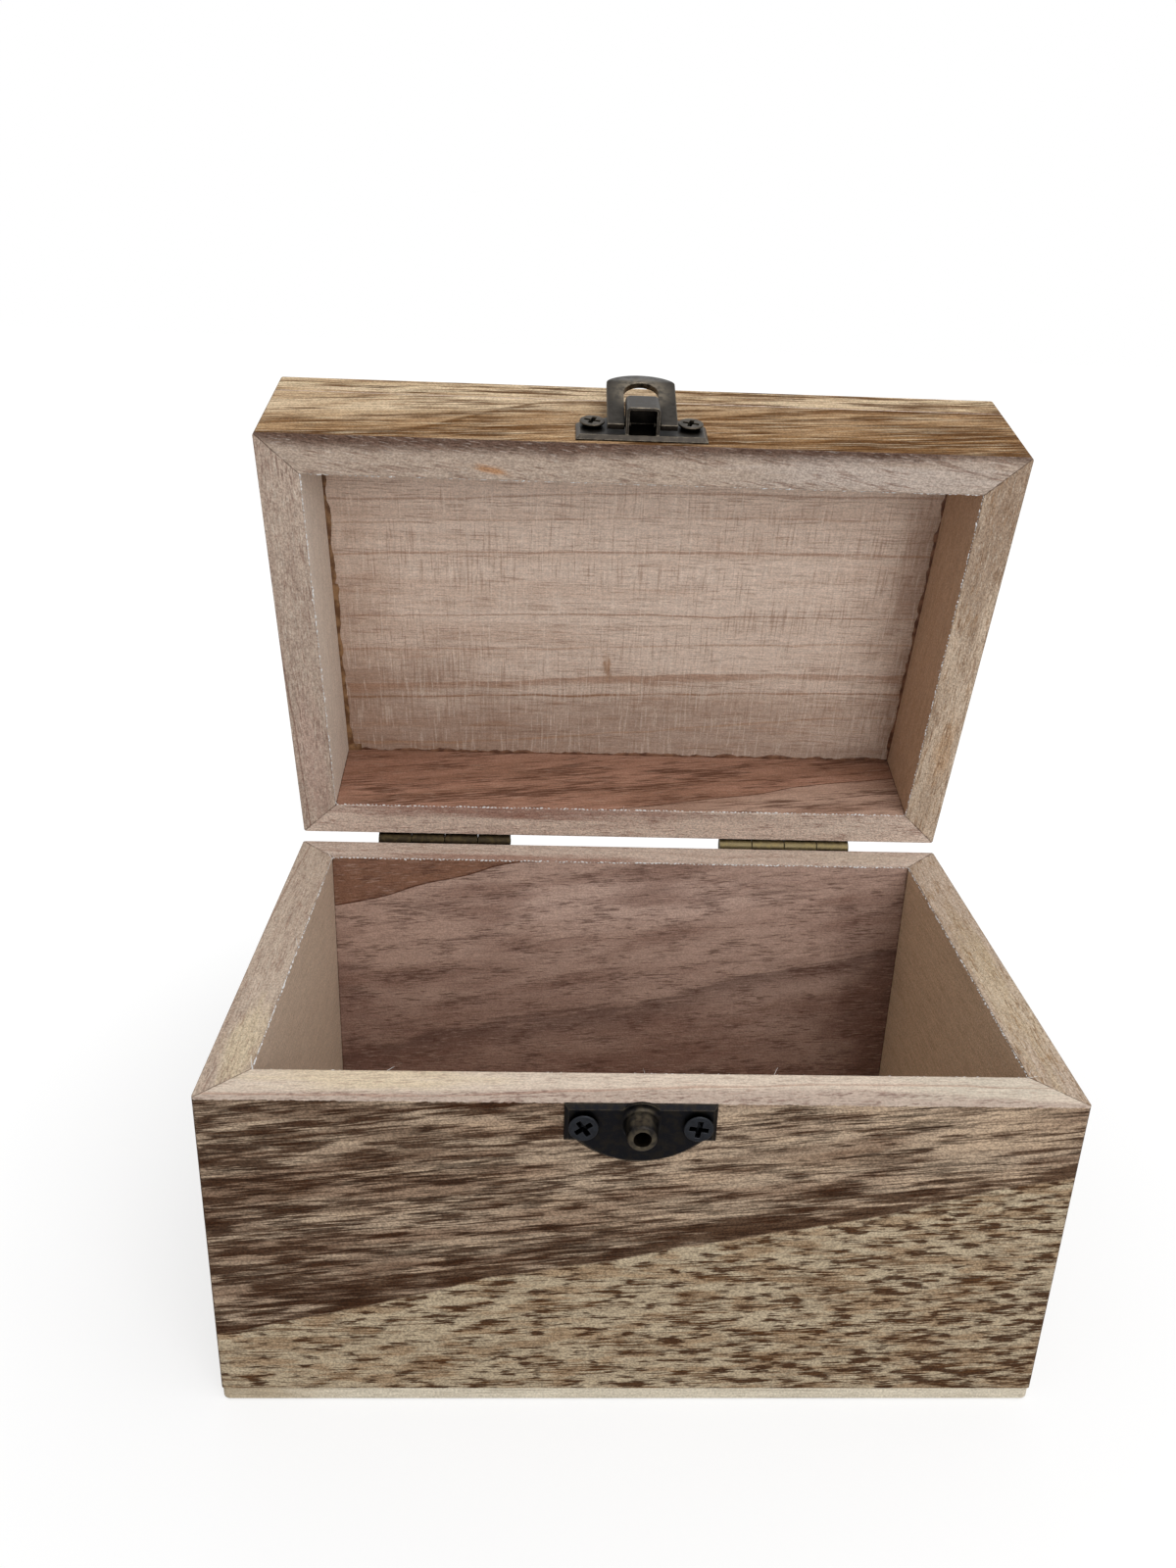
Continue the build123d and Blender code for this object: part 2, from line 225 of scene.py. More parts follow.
@dataclass(frozen=True)
class Canvas:
    """A face in a material: its node tree, and where each point lies on it."""

    tree: Tree
    where: Socket

    @classmethod
    def on(cls, tree: Tree, plane: Plane, carried: Matrix) -> Canvas:
        """Lay a canvas on a face.

        Args:
            tree: The material's node tree.
            plane: How the face lies.
            carried: What carries the piece back to the closed box, in mm.

        Returns:
            The canvas, with millimetres along, across and through the face.
        """
        matrix = Matrix(plane.value).to_4x4() @ carried
        links = {
            0: add(tree, "ShaderNodeTexCoord").outputs["Object"],
            1: matrix.to_translation(),
            2: matrix.to_euler(),
            3: (1 / MM, 1 / MM, 1 / MM),
        }
        return cls(tree, add(tree, "ShaderNodeMapping", links, vector_type="POINT").outputs[0])

    def laid(self, at: Triple, slope: float, size: Triple) -> Socket:
        """Return where points lie from a place, turned by degrees and measured in a size."""
        links = {0: self.where, 1: at, 2: (0, 0, math.radians(slope)), 3: size}
        return add(self.tree, "ShaderNodeMapping", links, vector_type="TEXTURE").outputs[0]

    def noise(
        self, size: Pair, slope: float = 0.0, seed: float = 0.0, detail: float = 2.0
    ) -> Socket:
        """Lay a noise of a given size, turned by a slope in the face.

        Args:
            size: How far apart its blots lie along and across. A blot is about half as large.
            slope: How far the pattern is turned, in degrees.
            seed: A shift that gives another pattern.
            detail: Levels of finer noise.

        Returns:
            The socket that holds values about 0.5.
        """
        shift = tuple(seed * step for step in SEED_STEP)
        place = self.laid(shift, slope, (size[0], size[1], size[1]))
        links = {"Vector": place, "Scale": 1, "Detail": detail}
        return add(self.tree, "ShaderNodeTexNoise", links).outputs[0]

    def stray(self, size: Pair, amount: float, slope: float, seed: float, detail: float) -> Socket:
        """Lay a noise that strays up and down from 0, mostly by up to a fifth of amount."""
        noise = self.noise(size, slope, seed, detail)
        return maths(self.tree, "MULTIPLY_ADD", noise, amount, -amount / 2)


@dataclass(frozen=True)
class Course:
    """How a growth line runs along a face: points along and across, and how it wanders."""

    points: tuple[Pair, ...]
    wander: float = 0.5
    wave: float = 14.0

    def distance(self, canvas: Canvas) -> Socket:
        """Measure how far each point of the face lies above the line.

        Args:
            canvas: The face.

        Returns:
            The socket that holds the distance.
        """
        tree = canvas.tree
        split = add(tree, "ShaderNodeSeparateXYZ", {0: canvas.where}).outputs
        begin, end = self.points[0][0], self.points[-1][0]
        heights = [height for _, height in self.points]
        low, high = min(heights) - 1, max(heights) + 1
        along = ramp(tree, split[0], begin, end, soft=False)
        bent = add(tree, "ShaderNodeFloatCurve", {1: along})
        placed = [((x - begin) / (end - begin), (h - low) / (high - low)) for x, h in self.points]
        drawn = bent.mapping.curves[0].points
        drawn[0].location, drawn[1].location = placed[0], placed[-1]
        for x, h in placed[1:-1]:
            drawn.new(x, h)
        bent.mapping.update()
        height = ramp(tree, bent.outputs[0], low=low, high=high, soft=False)
        drift = canvas.stray((self.wave, STRAIGHT), 4 * self.wander, 0, low * 0.37, 3)
        return maths(tree, "SUBTRACT", split[1], maths(tree, "ADD", height, drift))


@dataclass(frozen=True)
class GrowthLine:
    """Late growth along a line: sharp on one side, fading and breaking up on the other.

    From 0 to about 1, streaky and broken say how much the fade frays into streaks and how far it
    has gaps. The sharp side is the lower one, or the upper one where falling is set.
    """

    colour: str
    course: Course
    strength: float = 0.6
    sharp: float = 0.2
    fade: float = 0.8
    streaky: float = 0.3
    broken: float = 0.4
    slope: float = 0.0
    seed: float = 0.0
    falling: bool = False
    groove: float = 0.0

    def factor(self, canvas: Canvas, above: Socket | None) -> Socket:
        """Return how strongly each point is coloured.

        Args:
            canvas: The face.
            above: Not used by a line, which lies where its course runs.

        Returns:
            The socket that holds the strength, from 0 to 1.
        """
        tree = canvas.tree
        way = -1 if self.falling else 1
        reach = self.course.distance(canvas)
        begun = ramp(tree, reach, -way * self.sharp, way * self.sharp)
        faded = ramp(tree, reach, 0, way * self.fade, 1, 0, soft=False)
        torn = canvas.stray(STREAK, FRAY * self.streaky, self.slope, self.seed + 5, 3)
        parted = canvas.stray(GAP, PART * self.broken, self.slope, self.seed + 7, 2)
        total = maths(tree, "ADD", faded, maths(tree, "ADD", torn, parted))
        drawn = ramp(tree, total, LINE_BEGUN, LINE_FULL, 0, self.strength)
        return maths(tree, "MULTIPLY", drawn, begun)


@dataclass(frozen=True)
class Marks:
    """Marks drawn out along the grain, gathered into clumps.

    A fine noise of size mixed with a coarse one of clump decides where a mark lies: from
    cover[0], where it begins, to cover[1], where it is full. denser makes marks more likely
    along and across the face, by so much every 100 mm.
    """

    colour: str
    size: Pair
    cover: Pair
    strength: float = 1.0
    clump: Pair = (0, 0)
    clumping: float = 0.5
    side: Side = Side.BOTH
    slope: float = 0.0
    seed: float = 0.0
    detail: float = 2.0
    groove: float = 0.0
    denser: Pair = (0, 0)

    def factor(self, canvas: Canvas, above: Socket | None) -> Socket:
        """Return how strongly each point is coloured.

        Args:
            canvas: The face.
            above: 1 above the face's growth edge and 0 below it, where it has one.

        Returns:
            The socket that holds the strength, from 0 to 1.
        """
        tree = canvas.tree
        noise = canvas.noise(self.size, self.slope, self.seed, self.detail)
        if self.clump[0]:
            coarse = canvas.noise(self.clump, self.slope, self.seed + 11, 2)
            noise = mix(tree, self.clumping, noise, coarse, numbers=True)
        if self.denser != (0, 0):
            per_mm = (self.denser[0] / 100, self.denser[1] / 100, 0)
            noise = maths(tree, "ADD", noise, maths(tree, "DOT_PRODUCT", canvas.where, per_mm))
        drawn = ramp(tree, noise, *self.cover, 0, self.strength)
        if above is None or self.side is Side.BOTH:
            return drawn
        kept = maths(tree, "SUBTRACT", 1.0, above) if self.side is Side.BELOW else above
        return maths(tree, "MULTIPLY", drawn, kept)


@dataclass(frozen=True)
class Patch:
    """A soft patch: a stain, a smear of smoke, a paler place, also painted shade near walls.

    size is its half size along and across, core the share of that where it is full, and ragged
    how far its border strays, as a share of the same.
    """

    colour: str
    at: Pair
    size: Pair
    strength: float = 0.5
    turn: float = 0.0
    ragged: float = 0.6
    core: float = 0.3
    groove: float = 0.0

    def factor(self, canvas: Canvas, above: Socket | None) -> Socket:
        """Return how strongly each point is coloured.

        Args:
            canvas: The face.
            above: Not used by a patch, which lies where it is.

        Returns:
            The socket that holds the strength, from 0 to 1.
        """
        tree = canvas.tree
        laid = canvas.laid((*self.at, 0), self.turn, (*self.size, 1))
        flat = add(tree, "ShaderNodeVectorMath", {0: laid, 1: (1, 1, 0)}, operation="MULTIPLY")
        far = maths(tree, "LENGTH", flat.outputs[0])
        blots = (self.size[0] * 0.5, self.size[1] * 0.3)
        torn = canvas.stray(blots, 2 * self.ragged, self.turn, self.at[0] * 0.1 + self.at[1], 4)
        return ramp(tree, maths(tree, "ADD", far, torn), self.core, 1, self.strength, 0)


Layer = Union[GrowthLine, Marks, Patch]


@dataclass(frozen=True)
class Grain:
    """The figure of one face: its ground, the growth edge that crosses it, and its layers.

    The pores of paulownia are 0.15 to 0.3 mm wide, and the marks that draw them 0.15 to 0.2 mm.
    The grit and the loose fibres that a saw leaves are 0.05 to 0.1 mm wide, too fine to show at
    the photograph's distance, so they are drawn about twice as coarse. softness is half the
    width of the growth edge, fuzz and silk are how much grit and fibres lighten and darken, and
    tooth is how high the grit stands.
    """

    ground: str
    layers: tuple[Layer, ...] = ()
    below: str = ""
    edge: Course | None = None
    softness: float = 0.25
    fuzz: float = 0.12
    silk: float = 0.08
    tooth: float = 0.07

    def paint(self, canvas: Canvas) -> tuple[Socket, Socket]:
        """Build the figure's colour and relief.

        Args:
            canvas: The face.

        Returns:
            The colour, and the height of the surface in mm.
        """
        tree = canvas.tree
        colour: Any = linear(self.ground)
        above = None
        if self.edge:
            above = ramp(tree, self.edge.distance(canvas), -self.softness, self.softness)
            colour = mix(tree, above, linear(self.below or self.ground), colour)
        grit = canvas.noise((0.42, 0.3), seed=2, detail=1)
        fibres = canvas.noise((3.2, 0.2), seed=9, detail=1)
        height = maths(tree, "MULTIPLY", grit, self.tooth)
        for layer in self.layers:
            factor = layer.factor(canvas, above)
            colour = mix(tree, factor, colour, linear(layer.colour))
            if layer.groove:
                height = maths(tree, "MULTIPLY_ADD", factor, -layer.groove, height)
        for noise, depth in ((grit, self.fuzz), (fibres, self.silk)):
            shade = ramp(tree, noise, GRIT_LOW, GRIT_HIGH, 1 - depth, 1 + depth, soft=False)
            colour = scaled(tree, colour, shade)
        return colour, height


@dataclass(frozen=True)
class Region:
    """A face of a board with a grain of its own: where x, y or z passes from begin to full.

    A noise moves the place by up to ragged, so that the border isn't ruled. begin moves along by
    the noise's middle and full by its least, which keeps the face itself wholly covered.
    """

    grain: Grain
    plane: Plane
    axis: str = ""
    begin: float = 0.0
    full: float = 0.0
    ragged: float = 0.7
    middle: float = 0.35
    least: float = 0.17

    def mask(self, tree: Tree, noise: Socket, place: Socket) -> Socket:
        """Return how much of the region's own grain shows, from 0 to 1.

        Args:
            tree: The material's node tree.
            noise: What makes the border ragged.
            place: Where each point lies along the axis.

        Returns:
            The socket that holds the share.
        """
        way = 1 if self.full > self.begin else -1
        shifted = maths(tree, "MULTIPLY_ADD", noise, way * self.ragged, place)
        return ramp(tree, shifted, self.begin + way * self.middle, self.full + way * self.least)


@dataclass(frozen=True)
class PaulowniaBoard:
    """Sawn paulownia, left unfinished: dull, light, open-pored, its face figure differing by cut.

    The eye gets no gloss from it, only dark pores drawn out along the grain and a slightly
    fuzzy surface that catches light at sawn arrises.
    """

    name: str
    regions: tuple[Region, ...]
    roughness: Pair = (0.7, 0.92)
    specular: float = 0.06
    arris: float = 0.35
    mitred: bool = False
    seam: float = 0.22

    def material(self, carried: Matrix) -> bpy.types.Material:
        """Build the board's material.

        Args:
            carried: What carries the piece back to the closed box, in mm.

        Returns:
            The material.
        """
        made = blank(self.name)
        tree = made.node_tree
        flat = Canvas.on(tree, Plane.LONG_FLAT, carried)
        closed = add(tree, "ShaderNodeSeparateXYZ", {0: flat.where}).outputs
        ragged = flat.noise((0.9, 0.9), seed=8)
        colour: Any = None
        height: Any = None
        for region in self.regions:
            own_colour, own_height = region.grain.paint(Canvas.on(tree, region.plane, carried))
            if not region.axis:
                colour, height = own_colour, own_height
                continue
            mask = region.mask(tree, ragged, closed["xyz".index(region.axis)])
            colour = mix(tree, mask, colour, own_colour)
            height = mix(tree, mask, height, own_height, numbers=True)
        if self.mitred:
            colour = self._seam(tree, closed, ragged, colour)
        rounded = add(tree, "ShaderNodeBevel", {"Radius": self.arris * MM}, samples=4)
        bumps = {"Strength": 1.0, "Distance": MM, "Height": height, "Normal": rounded.outputs[0]}
        relief = add(tree, "ShaderNodeBump", bumps)
        looks = {
            "Base Color": colour,
            "Roughness": ramp(tree, ragged, NOISE_LOW, NOISE_HIGH, *self.roughness, soft=False),
            "Specular IOR Level": self.specular,
            "Normal": relief.outputs[0],
        }
        surface(tree, looks)
        return made

    def _seam(self, tree: Tree, closed: Any, ragged: Socket, colour: Socket) -> Socket:
        """Darken the hairline where two mitred boards meet, which thickens and thins.

        Args:
            tree: The material's node tree.
            closed: Closed-box x, y and z.
            ragged: A noise that breaks the line.
            colour: What the line is drawn over.

        Returns:
            The colour with the line.
        """
        x, y = (maths(tree, "ABSOLUTE", closed[i]) for i in (0, 1))
        apart = maths(tree, "SUBTRACT", x, y)
        off = maths(tree, "SUBTRACT", apart, HALF_LENGTH - HALF_DEPTH)
        gap = maths(tree, "ABSOLUTE", off)
        thin, thick = 0.2 * self.seam, 2.2 * self.seam
        width = ramp(tree, ragged, NOISE_LOW, NOISE_HIGH, thin, thick, soft=False)
        line = ramp(tree, gap, 0, width, 0.75, 0, soft=False)
        return mix(tree, line, colour, linear("#4a3527"))


@dataclass(frozen=True)
class PlatedSteel:
    """Pressed steel in antique-bronze plating: near black, rubbed to warm grey at its edges.

    The eye gets a dull metal sheen, worn bright arrises, soft blotches of patina of about half a
    millimetre, and painted shade, near black, wherever the sheet turns in on itself or meets
    another piece.
    rubbed_spots are places x, y, z on the open box, each with the radius that handling rubbed.
    """

    name: str
    pieces: tuple[str, ...]
    plating: str
    rubbed: str
    patina: str
    wear: float
    roughness: Pair
    edge_radius: float = 0.22
    crevice: float = 1.6
    rubbed_spots: tuple[tuple[float, float, float, float], ...] = ()

    def material(self) -> bpy.types.Material:
        """Build the plating's material."""
        made = blank(self.name)
        tree = made.node_tree
        canvas = Canvas.on(tree, Plane.LONG_FLAT, Matrix.Identity(4))
        mottle = canvas.noise((1.1, 1.1), seed=1, detail=4)
        # Scratches from handling are 0.01 to 0.03 mm wide, too fine to show: drawn twice as wide.
        scratches = canvas.noise((2.6, 0.09), 24, 3, 1)
        bevel = add(tree, "ShaderNodeBevel", {"Radius": self.edge_radius * MM}, samples=6)
        rounded = bevel.outputs[0]
        flat = add(tree, "ShaderNodeNewGeometry").outputs["Normal"]
        # The plating is worn where the rounded normal leans from the face by 6 to 31 degrees.
        facing = maths(tree, "DOT_PRODUCT", rounded, flat)
        nicked = ramp(tree, mottle, 0.36, 0.56, 0.25, 1, soft=False)
        worn = maths(tree, "MULTIPLY", ramp(tree, facing, 0.995, 0.86, 0, self.wear), nicked)
        scored = ramp(tree, scratches, 0.64, 0.74, 0, 0.14)
        bright = maths(tree, "MAXIMUM", worn, scored)
        for *place, radius in self.rubbed_spots:
            away = maths(tree, "DISTANCE", canvas.where, place)
            near = ramp(tree, away, radius, 0.35 * radius, 0, self.wear)
            bright = maths(tree, "MAXIMUM", bright, maths(tree, "MULTIPLY", near, nicked))
        blotched = ramp(tree, mottle, 0.42, 0.66, 0, 0.6)
        colour = mix(tree, blotched, linear(self.plating), linear(self.patina))
        colour = mix(tree, bright, colour, linear(self.rubbed))
        # Painted shade: the colour darkens towards black where ambient occlusion finds other
        # surfaces within crevice mm.
        hollow = {"Distance": self.crevice * MM}
        open_air = add(tree, "ShaderNodeAmbientOcclusion", hollow, samples=6).outputs["AO"]
        painted_crevice_shade = ramp(tree, open_air, 0.25, 0.9, 0.04, soft=False)
        bumps = {"Strength": 0.14, "Distance": 0.1 * MM, "Height": mottle, "Normal": rounded}
        relief = add(tree, "ShaderNodeBump", bumps)
        looks = {
            "Base Color": scaled(tree, colour, painted_crevice_shade),
            "Metallic": 1.0,
            "Roughness": ramp(tree, mottle, NOISE_LOW, NOISE_HIGH, *self.roughness, soft=False),
            "Normal": relief.outputs[0],
        }
        surface(tree, looks)
        return made


@dataclass(frozen=True)
class DriedGlue:
    """Wood glue squeezed out of a joint and dried: brown, lumpy, darker where it lies thick.

    The eye gets a faint gloss from it, the only one on the wood, and lumps of about 1 mm.
    """

    name: str
    thin: str
    thick: str

    def material(self) -> bpy.types.Material:
        """Build the glue's material."""
        made = blank(self.name)
        tree = made.node_tree
        canvas = Canvas.on(tree, Plane.LONG_FLAT, Matrix.Identity(4))
        lumps = canvas.noise((2.2, 2.2), seed=4, detail=3)
        bumps = {"Strength": 0.5, "Distance": 0.3 * MM, "Height": lumps}
        relief = add(tree, "ShaderNodeBump", bumps)
        thickness = ramp(tree, lumps, 0.36, 0.62)
        looks = {
            "Base Color": mix(tree, thickness, linear(self.thin), linear(self.thick)),
            "Roughness": 0.5,
            "Specular IOR Level": 0.35,
            "Normal": relief.outputs[0],
        }
        surface(tree, looks)
        return made


def dress(node: bpy.types.Object, material: bpy.types.Material) -> None:
    """Give a CAD piece one material.

    Args:
        node: The piece.
        material: What it is dressed in.
    """
    node.data.materials.clear()
    node.data.materials.append(material)
    log.info("dressed %s in %s", node.name, material.name)


def flecked(seed: float, slope: float, edge: Course) -> Grain:
    """Return the figure of the body's outside: smoky streaks above a growth edge, flecks below.

    Args:
        seed: A shift that gives another board.
        slope: How the fibres above the edge run, in degrees.
        edge: The growth edge that crosses the face.

    Returns:
        The grain.
    """
    up, down = Side.ABOVE, Side.BELOW
    return Grain(
        "#a4907b",
        below="#a5957d",
        edge=edge,
        fuzz=0.28,
        layers=(
            Marks("#6f5442", (34, 5), (0.44, 0.62), 0.6, side=up, slope=slope, seed=seed),
            Marks(
                "#b79f86", (24, 4), (0.5, 0.66), 0.55, side=up, slope=slope, seed=seed + 1,
                denser=(0.12, 0),
            ),
            Marks(
                "#533b2c", (16, 1.1), (0.47, 0.63), 0.62, (30, 6), 0.5, up, slope, seed + 2,
                denser=(-0.04, 0),
            ),
            GrowthLine("#3e2717", edge, 0.88, 0.3, 8.5, 1.2, 0.85, slope, seed),
            Marks(
                "#351e0f", (6.5, 0.29), (0.5, 0.58), 0.88, (10, 1.7), 0.5, up, slope, seed + 3,
                4, 0.04, (-0.06, 0),
            ),
            Marks("#25150b", (6, 0.3), (0.52, 0.6), 0.6, (20, 3), 0.4, up, slope, seed + 8),
            Marks("#c0b39b", (7, 0.32), (0.54, 0.68), 0.35, side=down, slope=2, seed=seed + 7),
            Marks("#84674a", (8, 1.7), (0.46, 0.62), 0.58, side=down, slope=2, seed=seed + 4),
            Marks(
                "#3a210f", (3.6, 0.28), (0.492, 0.565), 0.94, (4.6, 1.25), 0.56, down, 3, seed + 5,
                4, 0.04, (0.035, -0.07),
            ),
            Marks(
                "#54371e", (8, 0.27), (0.525, 0.61), 0.75, (12, 3), 0.4, down, 2, seed + 6,
                3, 0.03,
            ),
        ),
    )


def golden(
    seed: float, slope: float, lines: tuple[Layer, ...] = (), edge: Course | None = None
) -> Grain:
    """Return the golden figure of the lid's outside.

    Args:
        seed: A shift that gives another board.
        slope: How the fibres run, in degrees.
        lines: Growth lines and patches of the face's own.
        edge: The line below which the board turns brown, where it has one.

    Returns:
        The grain.
    """
    return Grain(
        "#d5be9f",
        below="#a98a68",
        edge=edge,
        softness=3.5,
        fuzz=0.22,
        layers=(
            Marks("#aa8b67", (38, 4), (0.44, 0.62), 0.6, slope=slope, seed=seed),
            *lines,
            Marks(
                "#4d2e10", (12, 0.34), (0.49, 0.565), 0.9, (20, 2.2), 0.5, slope=slope,
                seed=seed + 2, detail=3, groove=0.05, denser=(0.05, 0),
            ),
            Marks("#714c29", (9, 0.3), (0.52, 0.62), 0.7, slope=slope, seed=seed + 3, groove=0.03),
            Marks("#e4d3b5", (12, 0.4), (0.54, 0.68), 0.4, slope=slope, seed=seed + 4),
        ),
    )


def sawn(ground: str, dark: str, seed: float, depth: float = 0.5, *extra: Layer) -> Grain:
    """Return the pale figure of a sawn rim or a plain inner face.

    Args:
        ground: Its colour.
        dark: The colour of its pores.
        seed: A shift that gives another board.
        depth: How strong the pores are.
        *extra: Layers of the face's own.

    Returns:
        The grain.
    """
    return Grain(
        ground,
        fuzz=0.1 + 0.1 * depth,
        tooth=0.05 + 0.14 * depth,
        layers=(
            Marks(dark, (24, 2), (0.46, 0.7), 0.3 * depth, seed=seed),
            *extra,
            Marks(
                dark, (3.2, 0.32), (0.52, 0.64), 0.62 * depth, (9, 2), 0.4, seed=seed + 1,
                groove=0.06,
            ),
            Marks(dark, (0.7, 0.4), (0.55, 0.66), 0.4 * depth, seed=seed + 2, groove=0.07),
            Marks("#e8dfd0", (2.2, 0.32), (0.56, 0.7), 0.3 * depth, seed=seed + 3),
        ),
    )


def end_grain(seed: float) -> Grain:
    """Return the figure of the top board's ends: dotted pores along three arcs of growth rings.

    Args:
        seed: A shift that gives another board.

    Returns:
        The grain.
    """
    rings = [
        (low, Course(((-49, low), (-20, low + 2.2), (10, low + 2.6), (49, low - 1.5)), 0.5))
        for low in (87.5, 90.5, 93.5)
    ]
    return Grain(
        "#b59d7e",
        layers=(
            *(
                GrowthLine("#8a6c4e", ring, 0.55, 0.3, 1.6, 0.2, 0.2, seed=seed + low)
                for low, ring in rings
            ),
            Marks("#6f5439", (0.45, 0.4), (0.54, 0.62), 0.75, seed=seed, groove=0.05),
            Marks("#cbb594", (0.2, 3), (0.56, 0.7), 0.3, seed=seed + 1),
        ),
    )


@dataclass(frozen=True)
class WallGrains:
    """The grain of one wall outside, on its rim and inside."""

    outer: Grain
    rim: Grain
    inner: Grain


@dataclass
class FourWalls:
    """Four mitred walls, each cut from its own board, with the nodes that they are among.

    rim_way is 1 where the rims look up in the closed box and -1 where they look down.
    """

    nodes: dict[str, bpy.types.Object]
    part: str = ""
    rim_way: int = 1

    def board(self, side: str, grains: WallGrains) -> PaulowniaBoard:
        """Return the board that one wall is cut from.

        Args:
            side: front, back, left or right.
            grains: The wall's grains.

        Returns:
            The board.
        """
        long_wall = side in ("front", "back")
        way = -1 if side in ("front", "left") else 1
        axis, reach = ("y", way * HALF_DEPTH) if long_wall else ("x", way * HALF_LENGTH)
        upright = Plane.LONG_WALL if long_wall else Plane.SHORT_WALL
        flat = Plane.LONG_FLAT if long_wall else Plane.SHORT_FLAT
        regions = (
            Region(grains.inner, upright),
            Region(grains.outer, upright, axis, reach - way * SKIN, reach),
            Region(grains.rim, flat, "z", RIM_Z - self.rim_way * SKIN, RIM_Z),
        )
        return PaulowniaBoard(f"sawn_paulownia_{self.part}_{side}", regions, mitred=True)

    def dress_walls(self, walls: dict[str, WallGrains], carried: Matrix) -> None:
        """Dress the walls.

        Args:
            walls: The grains of each side.
            carried: What carries the part back to the closed box, in mm.
        """
        for side, grains in walls.items():
            board = self.board(side, grains)
            dress(self.nodes[f"{self.part}_{side}_wall"], board.material(carried))


@dataclass
class BoxBody(FourWalls):
    """The body of the box: four mitred walls on a thin bottom panel."""

    part: str = "body"

    def front(self) -> WallGrains:
        """Return the grains of the front wall."""
        edge = Course(
            (
                (-75, 15.8), (-46, 23.3), (-26, 29.2), (-9, 32.4), (13, 37.4), (40, 43.2),
                (56, 47.8), (75, 52.2),
            ),
            0.5,
        )
        rim_edge = Course(
            (
                (-75, -49), (-60, -47), (-30, -46.4), (0, -45.6), (30, -45.2), (55, -46.6),
                (75, -48.7),
            ),
            0.4,
        )
        line = Course(((-40, -48), (-15, -46.8), (5, -45.2), (30, -44)), 0.3)
        rim = Grain(
            "#d6c6b5",
            below="#bfad9f",
            edge=rim_edge,
            softness=0.8,
            layers=(
                Patch("#d9c7a6", (-48, -43), (28, 4.5), 0.6),
                Patch("#cbc2b1", (58, -44), (22, 5), 0.6),
                GrowthLine("#a87f6c", line, 0.5, 0.15, 0.9, slope=4),
                Marks(
                    "#7d6258", (1.5, 0.4), (0.5, 0.64), 0.75, (8, 1.5), 0.4, Side.BELOW, 4, 2,
                    groove=0.05,
                ),
                Marks("#a3887a", (2.4, 0.3), (0.54, 0.68), 0.5, slope=4, seed=3, groove=0.03),
            ),
        )
        return WallGrains(flecked(0, 6, edge), rim, sawn("#bfab98", "#8d7260", 5, 0.6))

    def back(self) -> WallGrains:
        """Return the grains of the back wall."""
        outer = flecked(20, -4, Course(((-75, 47), (-30, 38), (20, 27), (75, 13)), 0.7))
        rim = sawn(
            "#cfbdaf", "#8f6b58", 2, 0.9,
            Patch("#9c7565", (-26, 41.8), (40, 2.6), 0.75),
            Patch("#c9bba8", (56, 45), (20, 4), 0.5),
        )
        ring = Course(
            ((-67, 54.2), (-57, 56.5), (-47, 60), (-37, 62.5), (-27, 65.8), (-19, 67), (67, 88)),
            0.15,
        )
        smoke = Course(((-67, 10), (-57, 13), (-27, 19), (8, 25), (33, 34), (67, 40)), 1.2)
        inner = Grain(
            "#86624f",
            below="#b29688",
            edge=ring,
            softness=0.15,
            fuzz=0.14,
            layers=(
                Patch("#7a584c", (5, -2), (100, 44), 0.88),
                # Painted shade: darker towards the corners with the side walls.
                Patch("#77564c", (-70, 18), (26, 34), 0.6),
                Patch("#6c4e43", (74, 22), (30, 52), 0.85),
                Patch("#c8ada0", (2, 57), (44, 9), 0.7, 4),
                Marks("#79594d", (30, 6), (0.45, 0.7), 0.55, slope=10, seed=4),
                GrowthLine("#553e38", smoke, 0.62, 5.0, 7.0, 0.6, 0.5, 9),
                GrowthLine("#472a20", ring, 0.85, 0.12, 0.6, 0.2, 0.2),
                Marks(
                    "#553c33", (3.0, 0.27), (0.515, 0.62), 0.65, (9, 4), 0.4, slope=4, seed=5,
                    groove=0.03,
                ),
                Marks("#c2a798", (3, 0.3), (0.56, 0.7), 0.35, slope=4, seed=6),
            ),
        )
        return WallGrains(outer, rim, inner)

    def left(self) -> WallGrains:
        """Return the grains of the left wall."""
        outer = flecked(40, 3, Course(((-49, 41), (-10, 33), (20, 29), (49, 20)), 0.7))
        line = Course(((0, 75), (20, 74.3), (40, 73.2), (49, 72.6)), 0.2)
        rim = sawn(
            "#bfad9c", "#86695a", 6, 0.8,
            Patch("#d0bf9f", (-34, 70), (17, 4.5), 0.6),
            GrowthLine("#8d6f5f", line, 0.6, 0.15, 0.7),
        )
        return WallGrains(outer, rim, sawn("#c9b5a2", "#a98e79", 3, 0.3))

    def right(self) -> WallGrains:
        """Return the grains of the right wall."""
        outer = flecked(60, -5, Course(((-49, 52), (-15, 41), (15, 36), (49, 27)), 0.7))
        rim = sawn(
            "#baa795", "#80603f", 7, 0.9,
            Patch("#c9b78f", (-10, -71), (40, 5), 0.3),
            Marks("#93734f", (3.4, 0.32), (0.53, 0.64), 0.6, (9, 2), 0.4, slope=2, seed=8),
        )
        return WallGrains(outer, rim, sawn("#c9ae93", "#8f7257", 8, 0.35))

    def dress(self) -> None:
        """Dress the walls and the bottom panel."""
        here = Matrix.Identity(4)
        walls = {
            "front": self.front(), "back": self.back(), "left": self.left(), "right": self.right()
        }
        self.dress_walls(walls, here)
        plain = sawn(
            "#cec4b1", "#897d6b", 9, 0.5,
            Patch("#a08a6c", (-72, -49), (22, 9), 0.6),
            Marks("#8d8272", (24, 0.4), (0.55, 0.66), 0.4, seed=4),
        )
        panel = PaulowniaBoard("sanded_pale_paulownia_bottom", (Region(plain, Plane.LONG_FLAT),))
        dress(self.nodes["bottom_panel"], panel.material(here))


